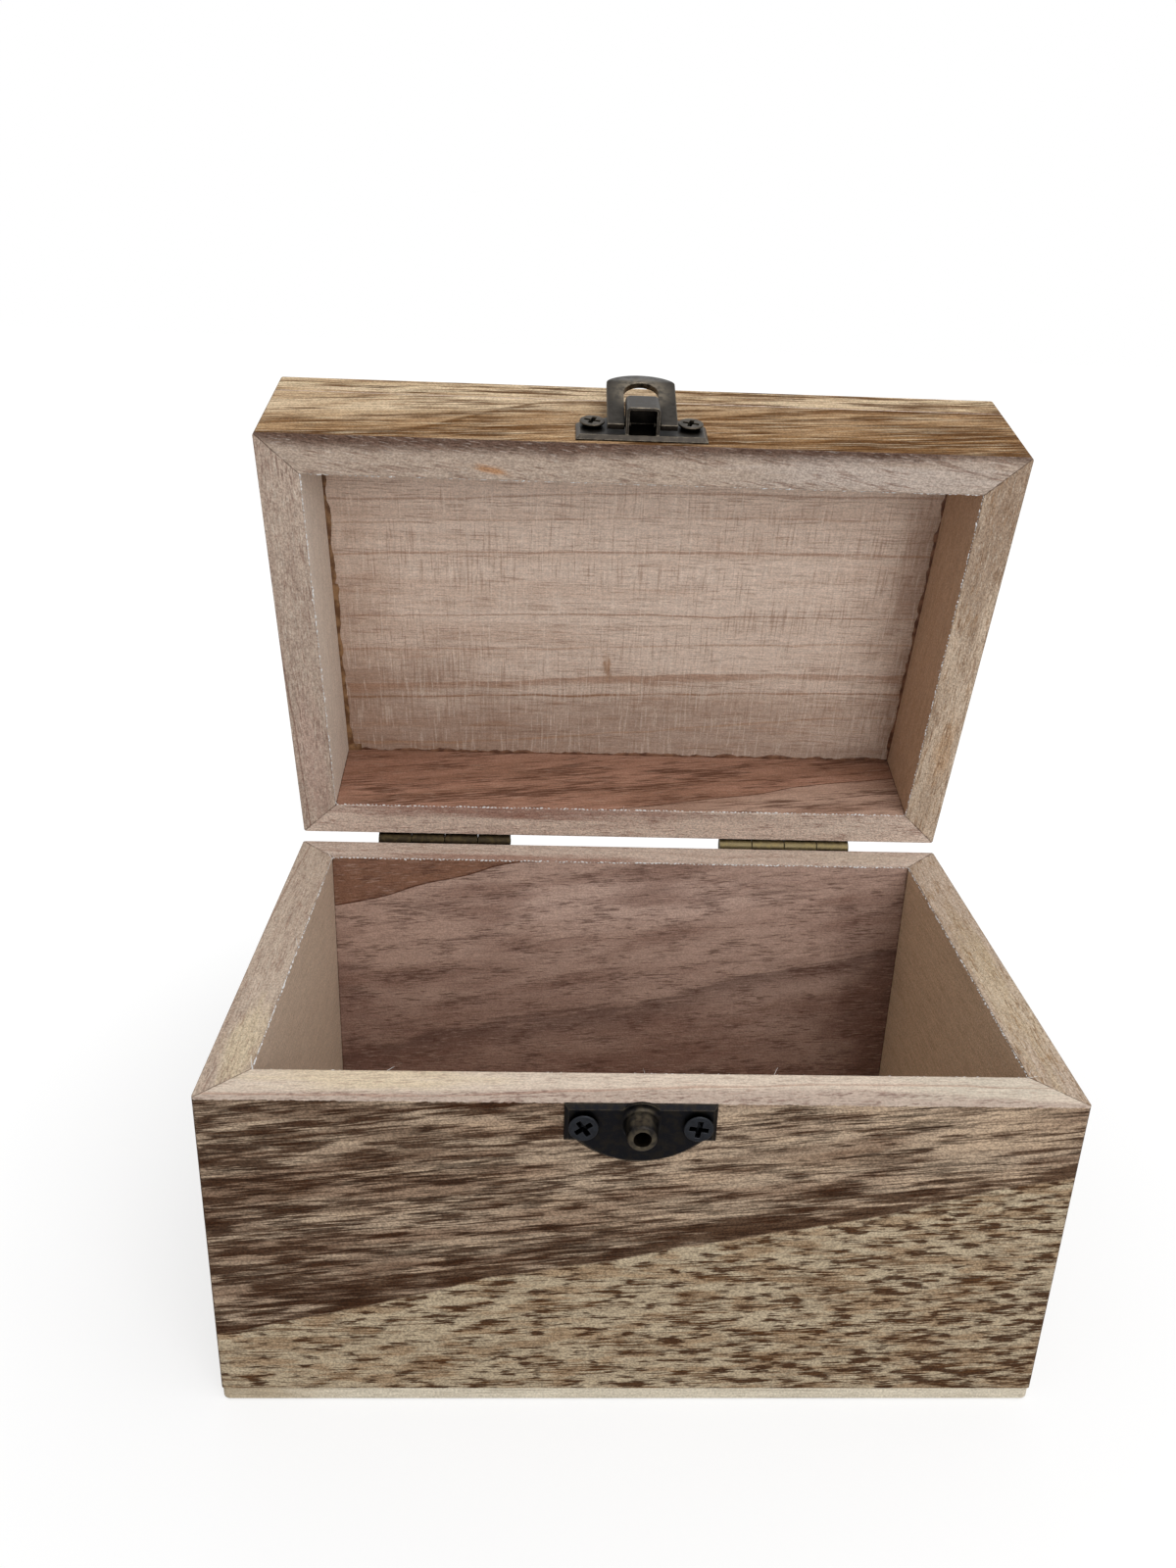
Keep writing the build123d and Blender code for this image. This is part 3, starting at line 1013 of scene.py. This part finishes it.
# The growth lines of the lid's inside: the colour, points, strength and fade of each, and how
# broken it is.
PANEL_LINES = (
    ("#a98263", ((-42, 38), (4, 33.6), (28, 30.7), (51, 28.4), (67, 28)), 0.55, 0.8, 0.5),
    ("#8c6344", ((-67, 25.5), (-40, 24.2), (-10, 23.2), (20, 22), (67, 20.8)), 0.8, 0.7, 0.6),
    ("#a07a62", ((-67, 21.5), (-30, 20), (0, 17.5), (67, 15.5)), 0.6, 3.0, 0.5),
    ("#a78066", ((-67, 12), (0, 9.5), (40, 7.5), (67, 7)), 0.5, 0.8, 0.5),
    ("#966f54", ((-67, 3.2), (-4, 1), (67, 0.2)), 0.65, 0.5, 0.4),
    ("#9c765d", ((-67, -12.5), (2, -15.2), (67, -16)), 0.6, 0.7, 0.5),
    ("#a9866f", ((-67, -20), (-30, -22), (67, -25)), 0.45, 0.6, 0.6),
    ("#9a755e", ((-67, -26), (-37, -27), (2, -29), (67, -30)), 0.55, 0.8, 0.4),
)


@dataclass
class BoxLid(FourWalls):
    """The lid: four mitred walls under a top board, standing open."""

    part: str = "lid"
    rim_way: int = -1
    swing: Swing = Swing()

    def front(self) -> WallGrains:
        """Return the grains of the front wall."""
        rising = Course(
            ((-75, 68), (-48, 71.5), (-38, 77), (-28, 83.5), (-17, 88), (-5, 89.2), (75, 95)), 0.4
        )
        lower = Course(
            ((-75, 66.5), (-40, 71.5), (-15, 77), (5, 80), (20, 84), (32, 87.5), (75, 93)), 0.4
        )
        lines = (
            GrowthLine("#573612", rising, 0.85, 0.5, 3.6, 0.9, 0.25, 8, falling=True),
            GrowthLine("#5a3816", lower, 0.85, 0.5, 4.2, 0.9, 0.25, 8, 4, falling=True),
            Patch("#77542f", (44, 72), (50, 9), 0.7, 5),
        )
        edge = Course(((-75, 76), (-40, 79), (-10, 84), (25, 88), (75, 92)), 1.2, 30)
        rim_edge = Course(
            (
                (-75, -48.8), (-67, -46.8), (-45, -46.4), (-25, -46.6), (-5, -46.8),
                (30, -47.2), (75, -48.4),
            ),
            0.6,
        )
        rim = Grain(
            "#ad9b8c",
            below="#665146",
            edge=rim_edge,
            softness=1.5,
            fuzz=0.2,
            layers=(
                Patch("#b7aaa1", (45, -44), (40, 5), 0.6),
                Patch("#ae7d52", (-30, -43), (4.5, 1.1), 0.75, 12),
                Marks(
                    "#7b6153", (3.4, 0.34), (0.51, 0.64), 0.65, (9, 2), 0.4, slope=10, seed=11,
                    groove=0.06,
                ),
                Marks(
                    "#4d382e", (1.8, 0.36), (0.5, 0.63), 0.8, (6, 1.6), 0.4, Side.BELOW, 6, 12,
                    groove=0.08,
                ),
                Marks("#cfc4ba", (2.4, 0.34), (0.56, 0.7), 0.3, slope=8, seed=13),
            ),
        )
        return WallGrains(golden(80, 6, lines, edge), rim, sawn("#b79d8a", "#7d6552", 12))

    def back(self) -> WallGrains:
        """Return the grains of the back wall."""
        line = Course(((-75, 82), (0, 77), (75, 70)), 0.6)
        outer = golden(100, -3, (GrowthLine("#5f4530", line, 0.75, 0.5, 4, 0.7, 0.3, -3),))
        rim = sawn(
            "#d6c2b3", "#875f50", 13, 0.9,
            Patch("#94695a", (-30, 41.9), (52, 3.2), 0.75),
            Patch("#d3c3b5", (56, 45), (20, 4), 0.5),
        )
        ring = Course(
            ((-67, 58), (-20, 64.5), (1, 68), (18, 71.5), (33, 74.5), (43, 77.5), (67, 81.6)), 0.12
        )
        inner = Grain(
            "#a67e6a",
            below="#b49684",
            edge=ring,
            softness=0.15,
            layers=(
                # Painted shade: darker in the corners where the back wall meets the top board and
                # the side walls.
                Patch("#8a6250", (-62, 82), (34, 14), 0.5),
                Patch("#86624f", (68, 86), (26, 12), 0.5),
                Marks("#7a5744", (34, 4), (0.43, 0.66), 0.5, slope=8, seed=14),
                GrowthLine("#45291e", ring, 0.85, 0.1, 0.45, 0.2, 0.15),
                Marks(
                    "#54372a", (7, 0.32), (0.485, 0.6), 0.8, (22, 4), 0.45, slope=8, seed=15,
                    groove=0.04,
                ),
                Marks("#c4a592", (4, 0.3), (0.55, 0.7), 0.3, slope=8, seed=16),
            ),
        )
        return WallGrains(outer, rim, inner)

    def left(self) -> WallGrains:
        """Return the grains of the left wall."""
        line = Course(((-49, 71), (0, 76), (49, 84)), 0.6)
        outer = golden(120, 2, (GrowthLine("#6b4f38", line, 0.6, 0.5, 3.4, 0.6, 0.3, 4),))
        rim_line = Course(((-5, 75), (12, 74.2), (49, 73.2)), 0.2)
        rim = sawn(
            "#b4a192", "#7c5f53", 14, 0.9,
            Patch("#bda093", (30, 71), (26, 5), 0.5),
            GrowthLine("#7f6154", rim_line, 0.7, 0.15, 0.6),
        )
        return WallGrains(outer, rim, sawn("#dacdc0", "#b39b88", 15, 0.3))

    def right(self) -> WallGrains:
        """Return the grains of the right wall."""
        line = Course(((-49, 84), (0, 79), (49, 70)), 0.6)
        outer = golden(140, -2, (GrowthLine("#6b4f38", line, 0.6, 0.5, 3.4, 0.6, 0.3, -4),))
        rim = sawn(
            "#c3af9a", "#785a42", 16, 0.9,
            Patch("#8b7563", (-40, -71), (44, 8), 0.75),
            Patch("#b08a64", (22, -72), (12, 3), 0.5),
            Marks("#8b6b4d", (3.4, 0.32), (0.53, 0.64), 0.6, (9, 2), 0.4, slope=2, seed=18),
        )
        return WallGrains(outer, rim, sawn("#b8987e", "#86653f", 17, 0.35))

    def panel(self) -> Grain:
        """Return the grain of the lid's inside, sawn across so that it looks woven."""
        lines = [
            GrowthLine(
                colour, Course(points, 0.4), strength, 0.2, 1.1 * fade, 0.4, 0.9 * broken,
                seed=points[0][1],
            )
            for colour, points, strength, fade, broken in PANEL_LINES
        ]
        return Grain(
            "#d6c2b3",
            layers=(
                Marks("#bb9f8c", (70, 3), (0.45, 0.68), 0.35, seed=21),
                Patch("#a68a78", (-60, -44), (50, 18), 0.3),
                Patch("#947a69", (0, 46), (120, 34), 0.6),
                Patch("#a58875", (-72, 14), (24, 56), 0.5),
                Patch("#957866", (-62, 40), (60, 34), 0.5),
                # Painted shade: the panel darker along its right wall.
                Patch("#8d6f5d", (72, 2), (17, 62), 0.6),
                *lines,
                Patch("#9c7350", (-4.5, 15), (1.3, 4.5), 0.7, -8),
                Marks(
                    "#8f6f5b", (0.44, 9), (0.52, 0.66), 0.42, (34, 12), 0.3, seed=22, groove=0.04
                ),
                Marks("#8b6c58", (6, 0.34), (0.53, 0.65), 0.5, (20, 3), 0.3, seed=23, groove=0.04),
                Marks("#e8dacd", (0.5, 8), (0.54, 0.68), 0.3, seed=24),
            ),
        )

    def dress(self) -> None:
        """Dress the walls and the top board."""
        back = self.swing.closing()
        walls = {
            "front": self.front(), "back": self.back(), "left": self.left(), "right": self.right()
        }
        self.dress_walls(walls, back)
        edge = golden(160, 1, (Marks("#cdb894", (40, 0.9), (0.5, 0.62), 0.5, slope=1, seed=3),))
        lower = Course(((-75, -22), (-30, -12), (10, -6), (75, 12)), 0.9)
        upper = Course(((-75, 18), (-20, 24), (30, 28), (75, 37)), 0.9)
        lines = (
            GrowthLine("#5a402c", lower, 0.85, 0.35, 7, 0.75, 0.3, 6),
            GrowthLine("#6b4f38", upper, 0.6, 0.5, 5, 0.8, 0.4, 6, 3),
        )
        top, ends = golden(180, 5, lines), Plane.SHORT_WALL
        regions = (
            Region(edge, Plane.LONG_WALL),
            Region(end_grain(30), ends, "x", SKIN - HALF_LENGTH, -HALF_LENGTH),
            Region(end_grain(31), ends, "x", HALF_LENGTH - SKIN, HALF_LENGTH),
            Region(top, Plane.LONG_FLAT, "z", BOARD_TOP - SKIN, BOARD_TOP),
            Region(self.panel(), Plane.LONG_FLAT, "z", BOARD_UNDER + SKIN, BOARD_UNDER),
        )
        board = PaulowniaBoard("sawn_paulownia_top_board", regions)
        dress(self.nodes["lid_top_board"], board.material(back))


@dataclass
class Hardware:
    """Hinges, latch plates, loop and screws."""

    nodes: dict[str, bpy.types.Object]

    def dress(self) -> None:
        """Dress each fitting in its plating."""
        low, high = (Vector(corner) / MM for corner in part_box("hasp_loop"))
        middle = (low + high) / 2
        # Hands rub the loop at its crown, and the loop rubs the strike's nose: place and radius.
        crown = (middle.x, middle.y, high.z - 1, 7.5)
        nose_tip = (middle.x, -53.6, 63.0, 3.6)
        nose_side = (middle.x, -51.4, 64.6, 3.4)
        left, right = (
            tuple(f"{side}_hinge_{piece}" for piece in ("body_leaf", "lid_leaf", "pin"))
            for side in ("left", "right")
        )
        finishes = (
            PlatedSteel(
                "blackened_pressed_steel_strike", ("strike_plate",),
                "#17171a", "#6b6150", "#25211c", 0.6, (0.36, 0.52),
                rubbed_spots=(nose_tip, nose_side),
            ),
            PlatedSteel(
                "blackened_steel_screw_heads", ("strike_plate_screws",),
                "#2b2d31", "#4d4d50", "#232326", 0.5, (0.36, 0.5),
            ),
            PlatedSteel(
                "antique_bronze_pressed_steel_hasp", ("hasp_plate",),
                "#37332f", "#a59a88", "#4b453e", 0.95, (0.3, 0.46), 0.3, 4.5,
            ),
            PlatedSteel(
                "antique_bronze_pressed_steel_loop", ("hasp_loop",),
                "#3a3631", "#857b6c", "#2b2723", 0.9, (0.32, 0.5), 0.35, rubbed_spots=(crown,),
            ),
            PlatedSteel(
                "antique_bronze_screw_heads", ("hasp_plate_screws",),
                "#4b443b", "#83796a", "#37322b", 0.6, (0.34, 0.5),
            ),
            PlatedSteel(
                "antique_bronze_rolled_steel_left_hinge", left,
                "#352d22", "#7b6d4f", "#51462f", 0.7, (0.36, 0.56), crevice=3.2,
            ),
            PlatedSteel(
                "antique_bronze_rolled_steel_right_hinge",
                (*right, "body_hinge_screws", "lid_hinge_screws"),
                "#61563f", "#b0a27c", "#82744f", 0.8, (0.34, 0.54), crevice=3.2,
            ),
        )
        for finish in finishes:
            material = finish.material()
            for name in finish.pieces:
                dress(self.nodes[name], material)


@dataclass(frozen=True)
class Shape:
    """A Geometry Nodes tree with named inputs, and how its result becomes a plain mesh."""

    name: str
    inputs: dict[str, str]

    def tree(self) -> Tree:
        """Return an empty tree with the named inputs and a geometry output."""
        tree = bpy.data.node_groups.new(self.name, "GeometryNodeTree")
        for name, kind in self.inputs.items():
            tree.interface.new_socket(name=name, in_out="INPUT", socket_type=f"NodeSocket{kind}")
        tree.interface.new_socket(name="Mesh", in_out="OUTPUT", socket_type="NodeSocketGeometry")
        return tree

    def finish(self, tree: Tree, made: Socket, material: bpy.types.Material) -> None:
        """End the tree in Realize Instances and Set Material.

        Args:
            tree: The tree.
            made: The geometry so far.
            material: What it is dressed in.
        """
        real = add(tree, "GeometryNodeRealizeInstances", {0: made})
        links = {0: real.outputs[0], "Material": material}
        add(tree, "NodeGroupOutput", {0: add(tree, "GeometryNodeSetMaterial", links).outputs[0]})

    def mesh(self, tree: Tree, values: dict[str, Any], carried: Matrix) -> bpy.types.Mesh:
        """Evaluate the tree with given inputs and return its result as a plain mesh.

        Args:
            tree: The tree.
            values: The value of each named input.
            carried: What carries the result, in metres, to where it stands.

        Returns:
            The mesh.
        """
        holder = bpy.data.objects.new(self.name, bpy.data.meshes.new(self.name))
        bpy.context.collection.objects.link(holder)
        modifier = holder.modifiers.new(self.name, "NODES")
        modifier.node_group = tree
        for item in tree.interface.items_tree:
            if item.in_out == "INPUT":
                modifier[item.identifier] = values[item.name]
        graph = bpy.context.evaluated_depsgraph_get()
        made = bpy.data.meshes.new_from_object(holder.evaluated_get(graph), depsgraph=graph)
        made.transform(carried)
        holder.modifiers.remove(modifier)
        bpy.data.objects.remove(holder)
        return made


def ends(start: Triple, end: Triple) -> dict[str, Any]:
    """Return the inputs that say where a line starts and ends, given in mm."""
    return {"Start": [v * MM for v in start], "End": [v * MM for v in end]}


def add_piece(name: str, meshes: list[bpy.types.Mesh], body: str) -> None:
    """Join meshes into one piece at the origin that rides on a body.

    Args:
        name: The piece's name.
        meshes: The meshes, already where they stand.
        body: The CAD body that it moves with.
    """
    points: list[Vector] = []
    faces: list[tuple[int, ...]] = []
    for mesh in meshes:
        start = len(points)
        points += [vertex.co.copy() for vertex in mesh.vertices]
        faces += [tuple(start + i for i in face.vertices) for face in mesh.polygons]
    joined = bpy.data.meshes.new(name)
    joined.from_pydata(points, [], faces)
    joined.materials.append(meshes[0].materials[0])
    joined.shade_smooth()
    piece = bpy.data.objects.new(name, joined)
    bpy.context.collection.objects.link(piece)
    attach(piece, body)
    log.info("made %s with %d faces", name, len(faces))


@dataclass(frozen=True)
class GlueBead:
    """A line of glue squeezed out of a joint.

    unevenness is how far its thickness swells and thins, as a share, and lump is how often, in
    lumps every metre.
    """

    start: Triple
    end: Triple
    radius: float
    unevenness: float
    lump: float
    seed: float


@dataclass
class GlueSqueezeOut:
    """Beads of dried glue round the inside of the lid's top board.

    Each bead is a tube of so many steps and corners, flattened to a share of its height.
    """

    swing: Swing
    flatness: float = 0.26
    steps: int = 260
    corners: int = 10

    def _tree(self, shape: Shape, material: bpy.types.Material) -> Tree:
        """Build the tree of one bead: a line whose thickness swells and thins along it.

        Args:
            shape: The tree's name and inputs.
            material: The glue.

        Returns:
            The tree.
        """
        tree = shape.tree()
        given = add(tree, "NodeGroupInput").outputs
        links = {"Start": given["Start"], "End": given["End"]}
        line = add(tree, "GeometryNodeCurvePrimitiveLine", links).outputs[0]
        cut = add(tree, "GeometryNodeResampleCurve", {0: line, "Count": self.steps}, mode="COUNT")
        here = add(tree, "GeometryNodeInputPosition").outputs[0]
        spread = scaled(tree, here, given["Lump"])
        moved = add(tree, "ShaderNodeCombineXYZ", {2: given["Seed"]}).outputs[0]
        shifted = add(tree, "ShaderNodeVectorMath", {0: spread, 1: moved})
        links = {"Vector": shifted.outputs[0], "Scale": 1, "Detail": 3}
        lumps = add(tree, "ShaderNodeTexNoise", links).outputs[0]
        swell = ramp(tree, lumps, 0.32, 0.68, -1, 1, soft=False)
        share = maths(tree, "MULTIPLY_ADD", swell, given["Unevenness"], 1.0)
        radius = maths(tree, "MULTIPLY", share, given["Radius"])
        round_profile = {"Resolution": self.corners, "Radius": 1.0}
        ring = add(tree, "GeometryNodeCurvePrimitiveCircle", round_profile).outputs[0]
        sweep = {0: cut.outputs[0], "Profile Curve": ring, "Scale": radius, "Fill Caps": True}
        shape.finish(tree, add(tree, "GeometryNodeCurveToMesh", sweep).outputs[0], material)
        return tree

    def build(self) -> None:
        """Make the beads, flattened against the board, and hang them in the lid."""
        brown = DriedGlue("dried_brown_wood_glue", "#94714f", "#63442c")
        dark = DriedGlue("dried_dark_wood_glue", "#7f5a43", "#553626")
        corner = (-66.9, 40.9, 89)
        lines = (
            ("lid_glue_left", brown, (
                GlueBead(corner, (-66.9, -38, 89), 0.9, 0.7, 130, 3),
                GlueBead(corner, (-66.9, 37.6, 89), 1.7, 0.4, 300, 9),
                GlueBead(corner, (-63.8, 40.9, 89), 1.7, 0.4, 300, 2),
                GlueBead((-66.9, 1.0, 89), (-66.9, -5.0, 89), 1.3, 0.4, 200, 6),
            )),
            ("lid_glue_hinge_side", dark, (
                GlueBead((-66.8, 40.9, 89), (66.8, 40.9, 89), 0.5, 0.95, 330, 5),
            )),
            ("lid_glue_right", dark, (
                GlueBead((66.9, 40.9, 89), (66.9, -36, 89), 0.42, 0.95, 260, 12),
            )),
        )
        numbers = dict.fromkeys(("Radius", "Unevenness", "Lump", "Seed"), "Float")
        shape = Shape("glue_bead", {"Start": "Vector", "End": "Vector", **numbers})
        flatten = (
            Matrix.Translation((0, 0, BOARD_UNDER * MM))
            @ Matrix.Diagonal((1, 1, self.flatness, 1))
            @ Matrix.Translation((0, 0, -BOARD_UNDER * MM))
        )
        carried = self.swing.opening() @ flatten
        for name, glue, beads in lines:
            tree = self._tree(shape, glue.material())
            meshes = []
            for bead in beads:
                values = {
                    **ends(bead.start, bead.end),
                    "Radius": bead.radius * MM,
                    "Unevenness": bead.unevenness,
                    "Lump": float(bead.lump),
                    "Seed": float(bead.seed),
                }
                meshes.append(shape.mesh(tree, values, carried))
            add_piece(name, meshes, "lid")


@dataclass(frozen=True)
class TornArris:
    """A sawn arris left ragged: its ends in the face of the rim, and what stands out of it."""

    start: Pair
    end: Pair
    crumbs: int
    splinters: int
    seed: int


@dataclass
class TornFibres:
    """Crumbs and splinters that the saw left along the inner arrises of the rims.

    crumb is half the size of the largest one, and splinter the radius and length of the longest.
    They are sunk below the rims, and a clearance keeps those of the two rims apart.
    """

    swing: Swing
    crumb: Triple = (0.55, 0.24, 0.2)
    splinter: Pair = (0.07, 2.4)
    sink: float = 0.24
    clearance: float = 0.02

    def _random(self, tree: Tree, low: Any, high: Any, seed: Socket) -> Socket:
        """Return a random number or vector between two others.

        Args:
            tree: The tree.
            low: The smallest.
            high: The largest, of the same kind.
            seed: The seed.

        Returns:
            The socket that holds it.
        """
        vector = isinstance(low, tuple)
        kind, first, output = ("FLOAT_VECTOR", 0, 0) if vector else ("FLOAT", 2, 1)
        links = {first: low, first + 1: high, "Seed": seed}
        return add(tree, "FunctionNodeRandomValue", links, data_type=kind).outputs[output]

    def _scatter(
        self, tree: Tree, what: str, shape: Socket, seed_shift: int, spread: float,
        tilt: Triple, sizes: Pair,
    ) -> Socket:
        """Scatter one shape at random along the arris.

        Args:
            tree: The tree.
            what: The name of the input that says how many.
            shape: The shape that is repeated.
            seed_shift: What sets this scatter apart from the other.
            spread: How far it may stand off the arris.
            tilt: How far each may be turned about each axis, in radians.
            sizes: The smallest and largest share of its full size.

        Returns:
            The instances.
        """
        given = add(tree, "NodeGroupInput").outputs
        seed = maths(tree, "ADD", given["Seed"], float(seed_shift))
        links = {"Count": given[what], "Start Location": given["Start"], "Offset": given["End"]}
        line = add(tree, "GeometryNodeMeshLine", links, mode="END_POINTS").outputs[0]
        far = (spread * MM,) * 3
        offset = self._random(tree, tuple(-f for f in far), far, seed)
        moved = add(tree, "GeometryNodeSetPosition", {0: line, "Offset": offset})
        turns = self._random(tree, tuple(-t for t in tilt), tilt, seed)
        leaning = add(tree, "FunctionNodeEulerToRotation", {0: turns}).outputs[0]
        turned = add(tree, "FunctionNodeRotateRotation", {0: leaning, 1: given["Along"]})
        links = {
            "Points": moved.outputs[0],
            "Instance": shape,
            "Rotation": turned.outputs[0],
            "Scale": self._random(tree, *sizes, seed),
        }
        return add(tree, "GeometryNodeInstanceOnPoints", links).outputs[0]

    def _tree(self, shape: Shape, material: bpy.types.Material) -> Tree:
        """Build the tree of one arris: crumbs of a few faces and a few thin splinters.

        Args:
            shape: The tree's name and inputs.
            material: The torn wood.

        Returns:
            The tree.
        """
        tree = shape.tree()
        grain = add(tree, "GeometryNodeMeshIcoSphere", {"Radius": MM, "Subdivisions": 1})
        crumb = add(tree, "GeometryNodeTransform", {0: grain.outputs[0], "Scale": self.crumb})
        radius, length = (size * MM for size in self.splinter)
        taper = {
            "Vertices": 5, "Radius Top": 0.2 * radius, "Radius Bottom": radius, "Depth": length
        }
        needle = add(tree, "GeometryNodeMeshCone", taper)
        both = add(tree, "GeometryNodeJoinGeometry")
        # What, its shape, a shift of the seed, how far off the arris, its tilt and its sizes.
        scattered = (
            ("Crumbs", crumb.outputs[0], 0, 0.1, (0.5, 0.5, 0.5), (0.35, 1.0)),
            ("Splinters", needle.outputs[0], 50, 0.08, (1.1, 0.6, 1.2), (0.4, 1.0)),
        )
        for settings in scattered:
            tree.links.new(self._scatter(tree, *settings), both.inputs[0])
        shape.finish(tree, both.outputs[0], material)
        return tree

    def build(self) -> None:
        """Make one piece for the body and one for the lid."""
        fibres = Region(sawn("#cbb8a4", "#94785f", 40, 0.8), Plane.LONG_FLAT)
        torn = PaulowniaBoard("torn_paulownia_fibres", (fibres,), arris=0.05)
        counts = dict.fromkeys(("Crumbs", "Splinters"), "Int")
        ways = {"Start": "Vector", "End": "Vector", **counts, "Along": "Rotation", "Seed": "Int"}
        shape = Shape("torn_arris", ways)
        arrises = (
            TornArris((-66.6, -41), (66.6, -41), 210, 7, 1),
            TornArris((-66.6, 41), (66.6, 41), 150, 3, 2),
            TornArris((-67, -40.6), (-67, 40.6), 110, 3, 3),
            TornArris((67, -40.6), (67, 40.6), 110, 3, 4),
        )
        still = Matrix.Identity(4)
        below, above = RIM_Z - self.clearance - self.sink, RIM_Z + self.clearance + self.sink
        stands = (
            ("body", below, still, still),
            ("lid", above, self.swing.opening(), self.swing.closing()),
        )
        for part, height, carried, back in stands:
            tree = self._tree(shape, torn.material(back))
            meshes = []
            for arris in arrises:
                sideways = arris.start[0] == arris.end[0]
                values = {
                    **ends((*arris.start, height), (*arris.end, height)),
                    "Crumbs": arris.crumbs,
                    "Splinters": arris.splinters,
                    "Along": Euler((0, 0, math.radians(90) if sideways else 0)),
                    "Seed": arris.seed,
                }
                meshes.append(shape.mesh(tree, values, carried))
            add_piece(f"{part}_torn_fibres", meshes, part)


@dataclass(frozen=True)
class SoftLamp:
    """A large soft lamp: where it hangs, where it points, and how strong it is. Sizes in m."""

    name: str
    at: Triple
    aim: Triple
    size: float
    power: float


@dataclass(frozen=True)
class Studio:
    """Camera, floor and light. The camera stands where the photograph's stood.

    camera_turn is in degrees, and fill is the strength of the white room's light. The floor's
    sizes are in m: it glows plain white for the camera past shadow_end from the middle of the
    box, and nearer than shadow_begin only the share open_white of it does, so that the shadow
    shows.
    """

    camera_at: Triple = (-17.6, -220.8, 195.7)
    camera_turn: Triple = (67.768, -2.070, -1.838)
    lens: float = 28.835
    shift: Pair = (-0.01, -0.0057)
    fill: float = 0.55
    floor_half: float = 3.0
    shadow_begin: float = 0.08
    shadow_end: float = 0.22
    open_white: float = 0.65
    glow: float = 1.06
    lamps: tuple[SoftLamp, ...] = (
        SoftLamp("soft_top_lamp", (0.16, -0.22, 0.78), (0, 0, 0.08), 0.5, 2.0),
        SoftLamp("soft_front_lamp", (0.26, -0.62, 0.44), (0, 0.02, 0.12), 0.45, 2.1),
    )

    def camera(self) -> None:
        """Set up the photograph's camera."""
        data = bpy.data.cameras.new("photo_camera")
        data.sensor_width = 36
        data.lens = self.lens
        data.shift_x, data.shift_y = self.shift
        data.clip_start = 0.01
        data.clip_end = 20
        camera = bpy.data.objects.new("photo_camera", data)
        camera.location = Vector(self.camera_at) * MM
        camera.rotation_euler = Euler([math.radians(a) for a in self.camera_turn])
        bpy.context.collection.objects.link(camera)
        bpy.context.scene.camera = camera

    def sky(self) -> None:
        """Fill the room with even light, and show white behind the box and in its metal."""
        world = bpy.data.worlds.new("white_room")
        bpy.context.scene.world = world
        world.use_nodes = True
        tree = world.node_tree
        tree.nodes.clear()
        path = add(tree, "ShaderNodeLightPath").outputs
        seen = maths(tree, "MAXIMUM", path["Is Camera Ray"], path["Is Glossy Ray"])
        seen = maths(tree, "MAXIMUM", seen, path["Is Transmission Ray"])
        strength = ramp(tree, seen, low=self.fill, soft=False)
        glow = add(tree, "ShaderNodeBackground", {0: (1, 1, 1, 1), 1: strength})
        add(tree, "ShaderNodeOutputWorld", {0: glow.outputs[0]})

    def floor(self) -> None:
        """Lay a plain white floor that keeps the box's shadow close to it and fades to white."""
        mesh = bpy.data.meshes.new("studio_floor")
        half = self.floor_half
        corners = [(-half, -half, 0), (half, -half, 0), (half, half, 0), (-half, half, 0)]
        mesh.from_pydata(corners, [], [(0, 1, 2, 3)])
        floor = bpy.data.objects.new("studio_floor", mesh)
        bpy.context.collection.objects.link(floor)
        made = blank("matt_white_studio_floor")
        tree = made.node_tree
        far = maths(tree, "LENGTH", add(tree, "ShaderNodeTexCoord").outputs["Object"])
        fade = ramp(tree, far, self.shadow_begin, self.shadow_end, self.open_white)
        path = add(tree, "ShaderNodeLightPath").outputs
        share = maths(tree, "MULTIPLY", fade, path["Is Camera Ray"])
        matt = add(tree, "ShaderNodeBsdfDiffuse", {0: (0.9, 0.9, 0.9, 1)})
        white = add(tree, "ShaderNodeEmission", {0: (1, 1, 1, 1), 1: self.glow})
        shades = {0: share, 1: matt.outputs[0], 2: white.outputs[0]}
        mixed = add(tree, "ShaderNodeMixShader", shades)
        add(tree, "ShaderNodeOutputMaterial", {0: mixed.outputs[0]})
        mesh.materials.append(made)

    def hang(self, soft: SoftLamp) -> None:
        """Hang one lamp and point it.

        Args:
            soft: The lamp.
        """
        data = bpy.data.lights.new(soft.name, "AREA")
        data.shape = "SQUARE"
        data.size = soft.size
        data.energy = soft.power
        lamp = bpy.data.objects.new(soft.name, data)
        lamp.location = soft.at
        lamp.rotation_euler = (Vector(soft.aim) - lamp.location).to_track_quat("-Z", "Y").to_euler()
        bpy.context.collection.objects.link(lamp)

    def build(self) -> None:
        """Set up the camera, floor and lights, and keep colours plain."""
        self.camera()
        self.sky()
        self.floor()
        for soft in self.lamps:
            self.hang(soft)
        bpy.context.scene.view_settings.view_transform = "Standard"


def main() -> None:
    """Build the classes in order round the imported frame."""
    logging.basicConfig(level=logging.INFO, format="%(name)s: %(message)s")
    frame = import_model()
    Studio().build()
    BoxBody(frame["nodes"]).dress()
    BoxLid(frame["nodes"]).dress()
    Hardware(frame["nodes"]).dress()
    GlueSqueezeOut(Swing()).build()
    TornFibres(Swing()).build()


if __name__ == "__main__":
    main()
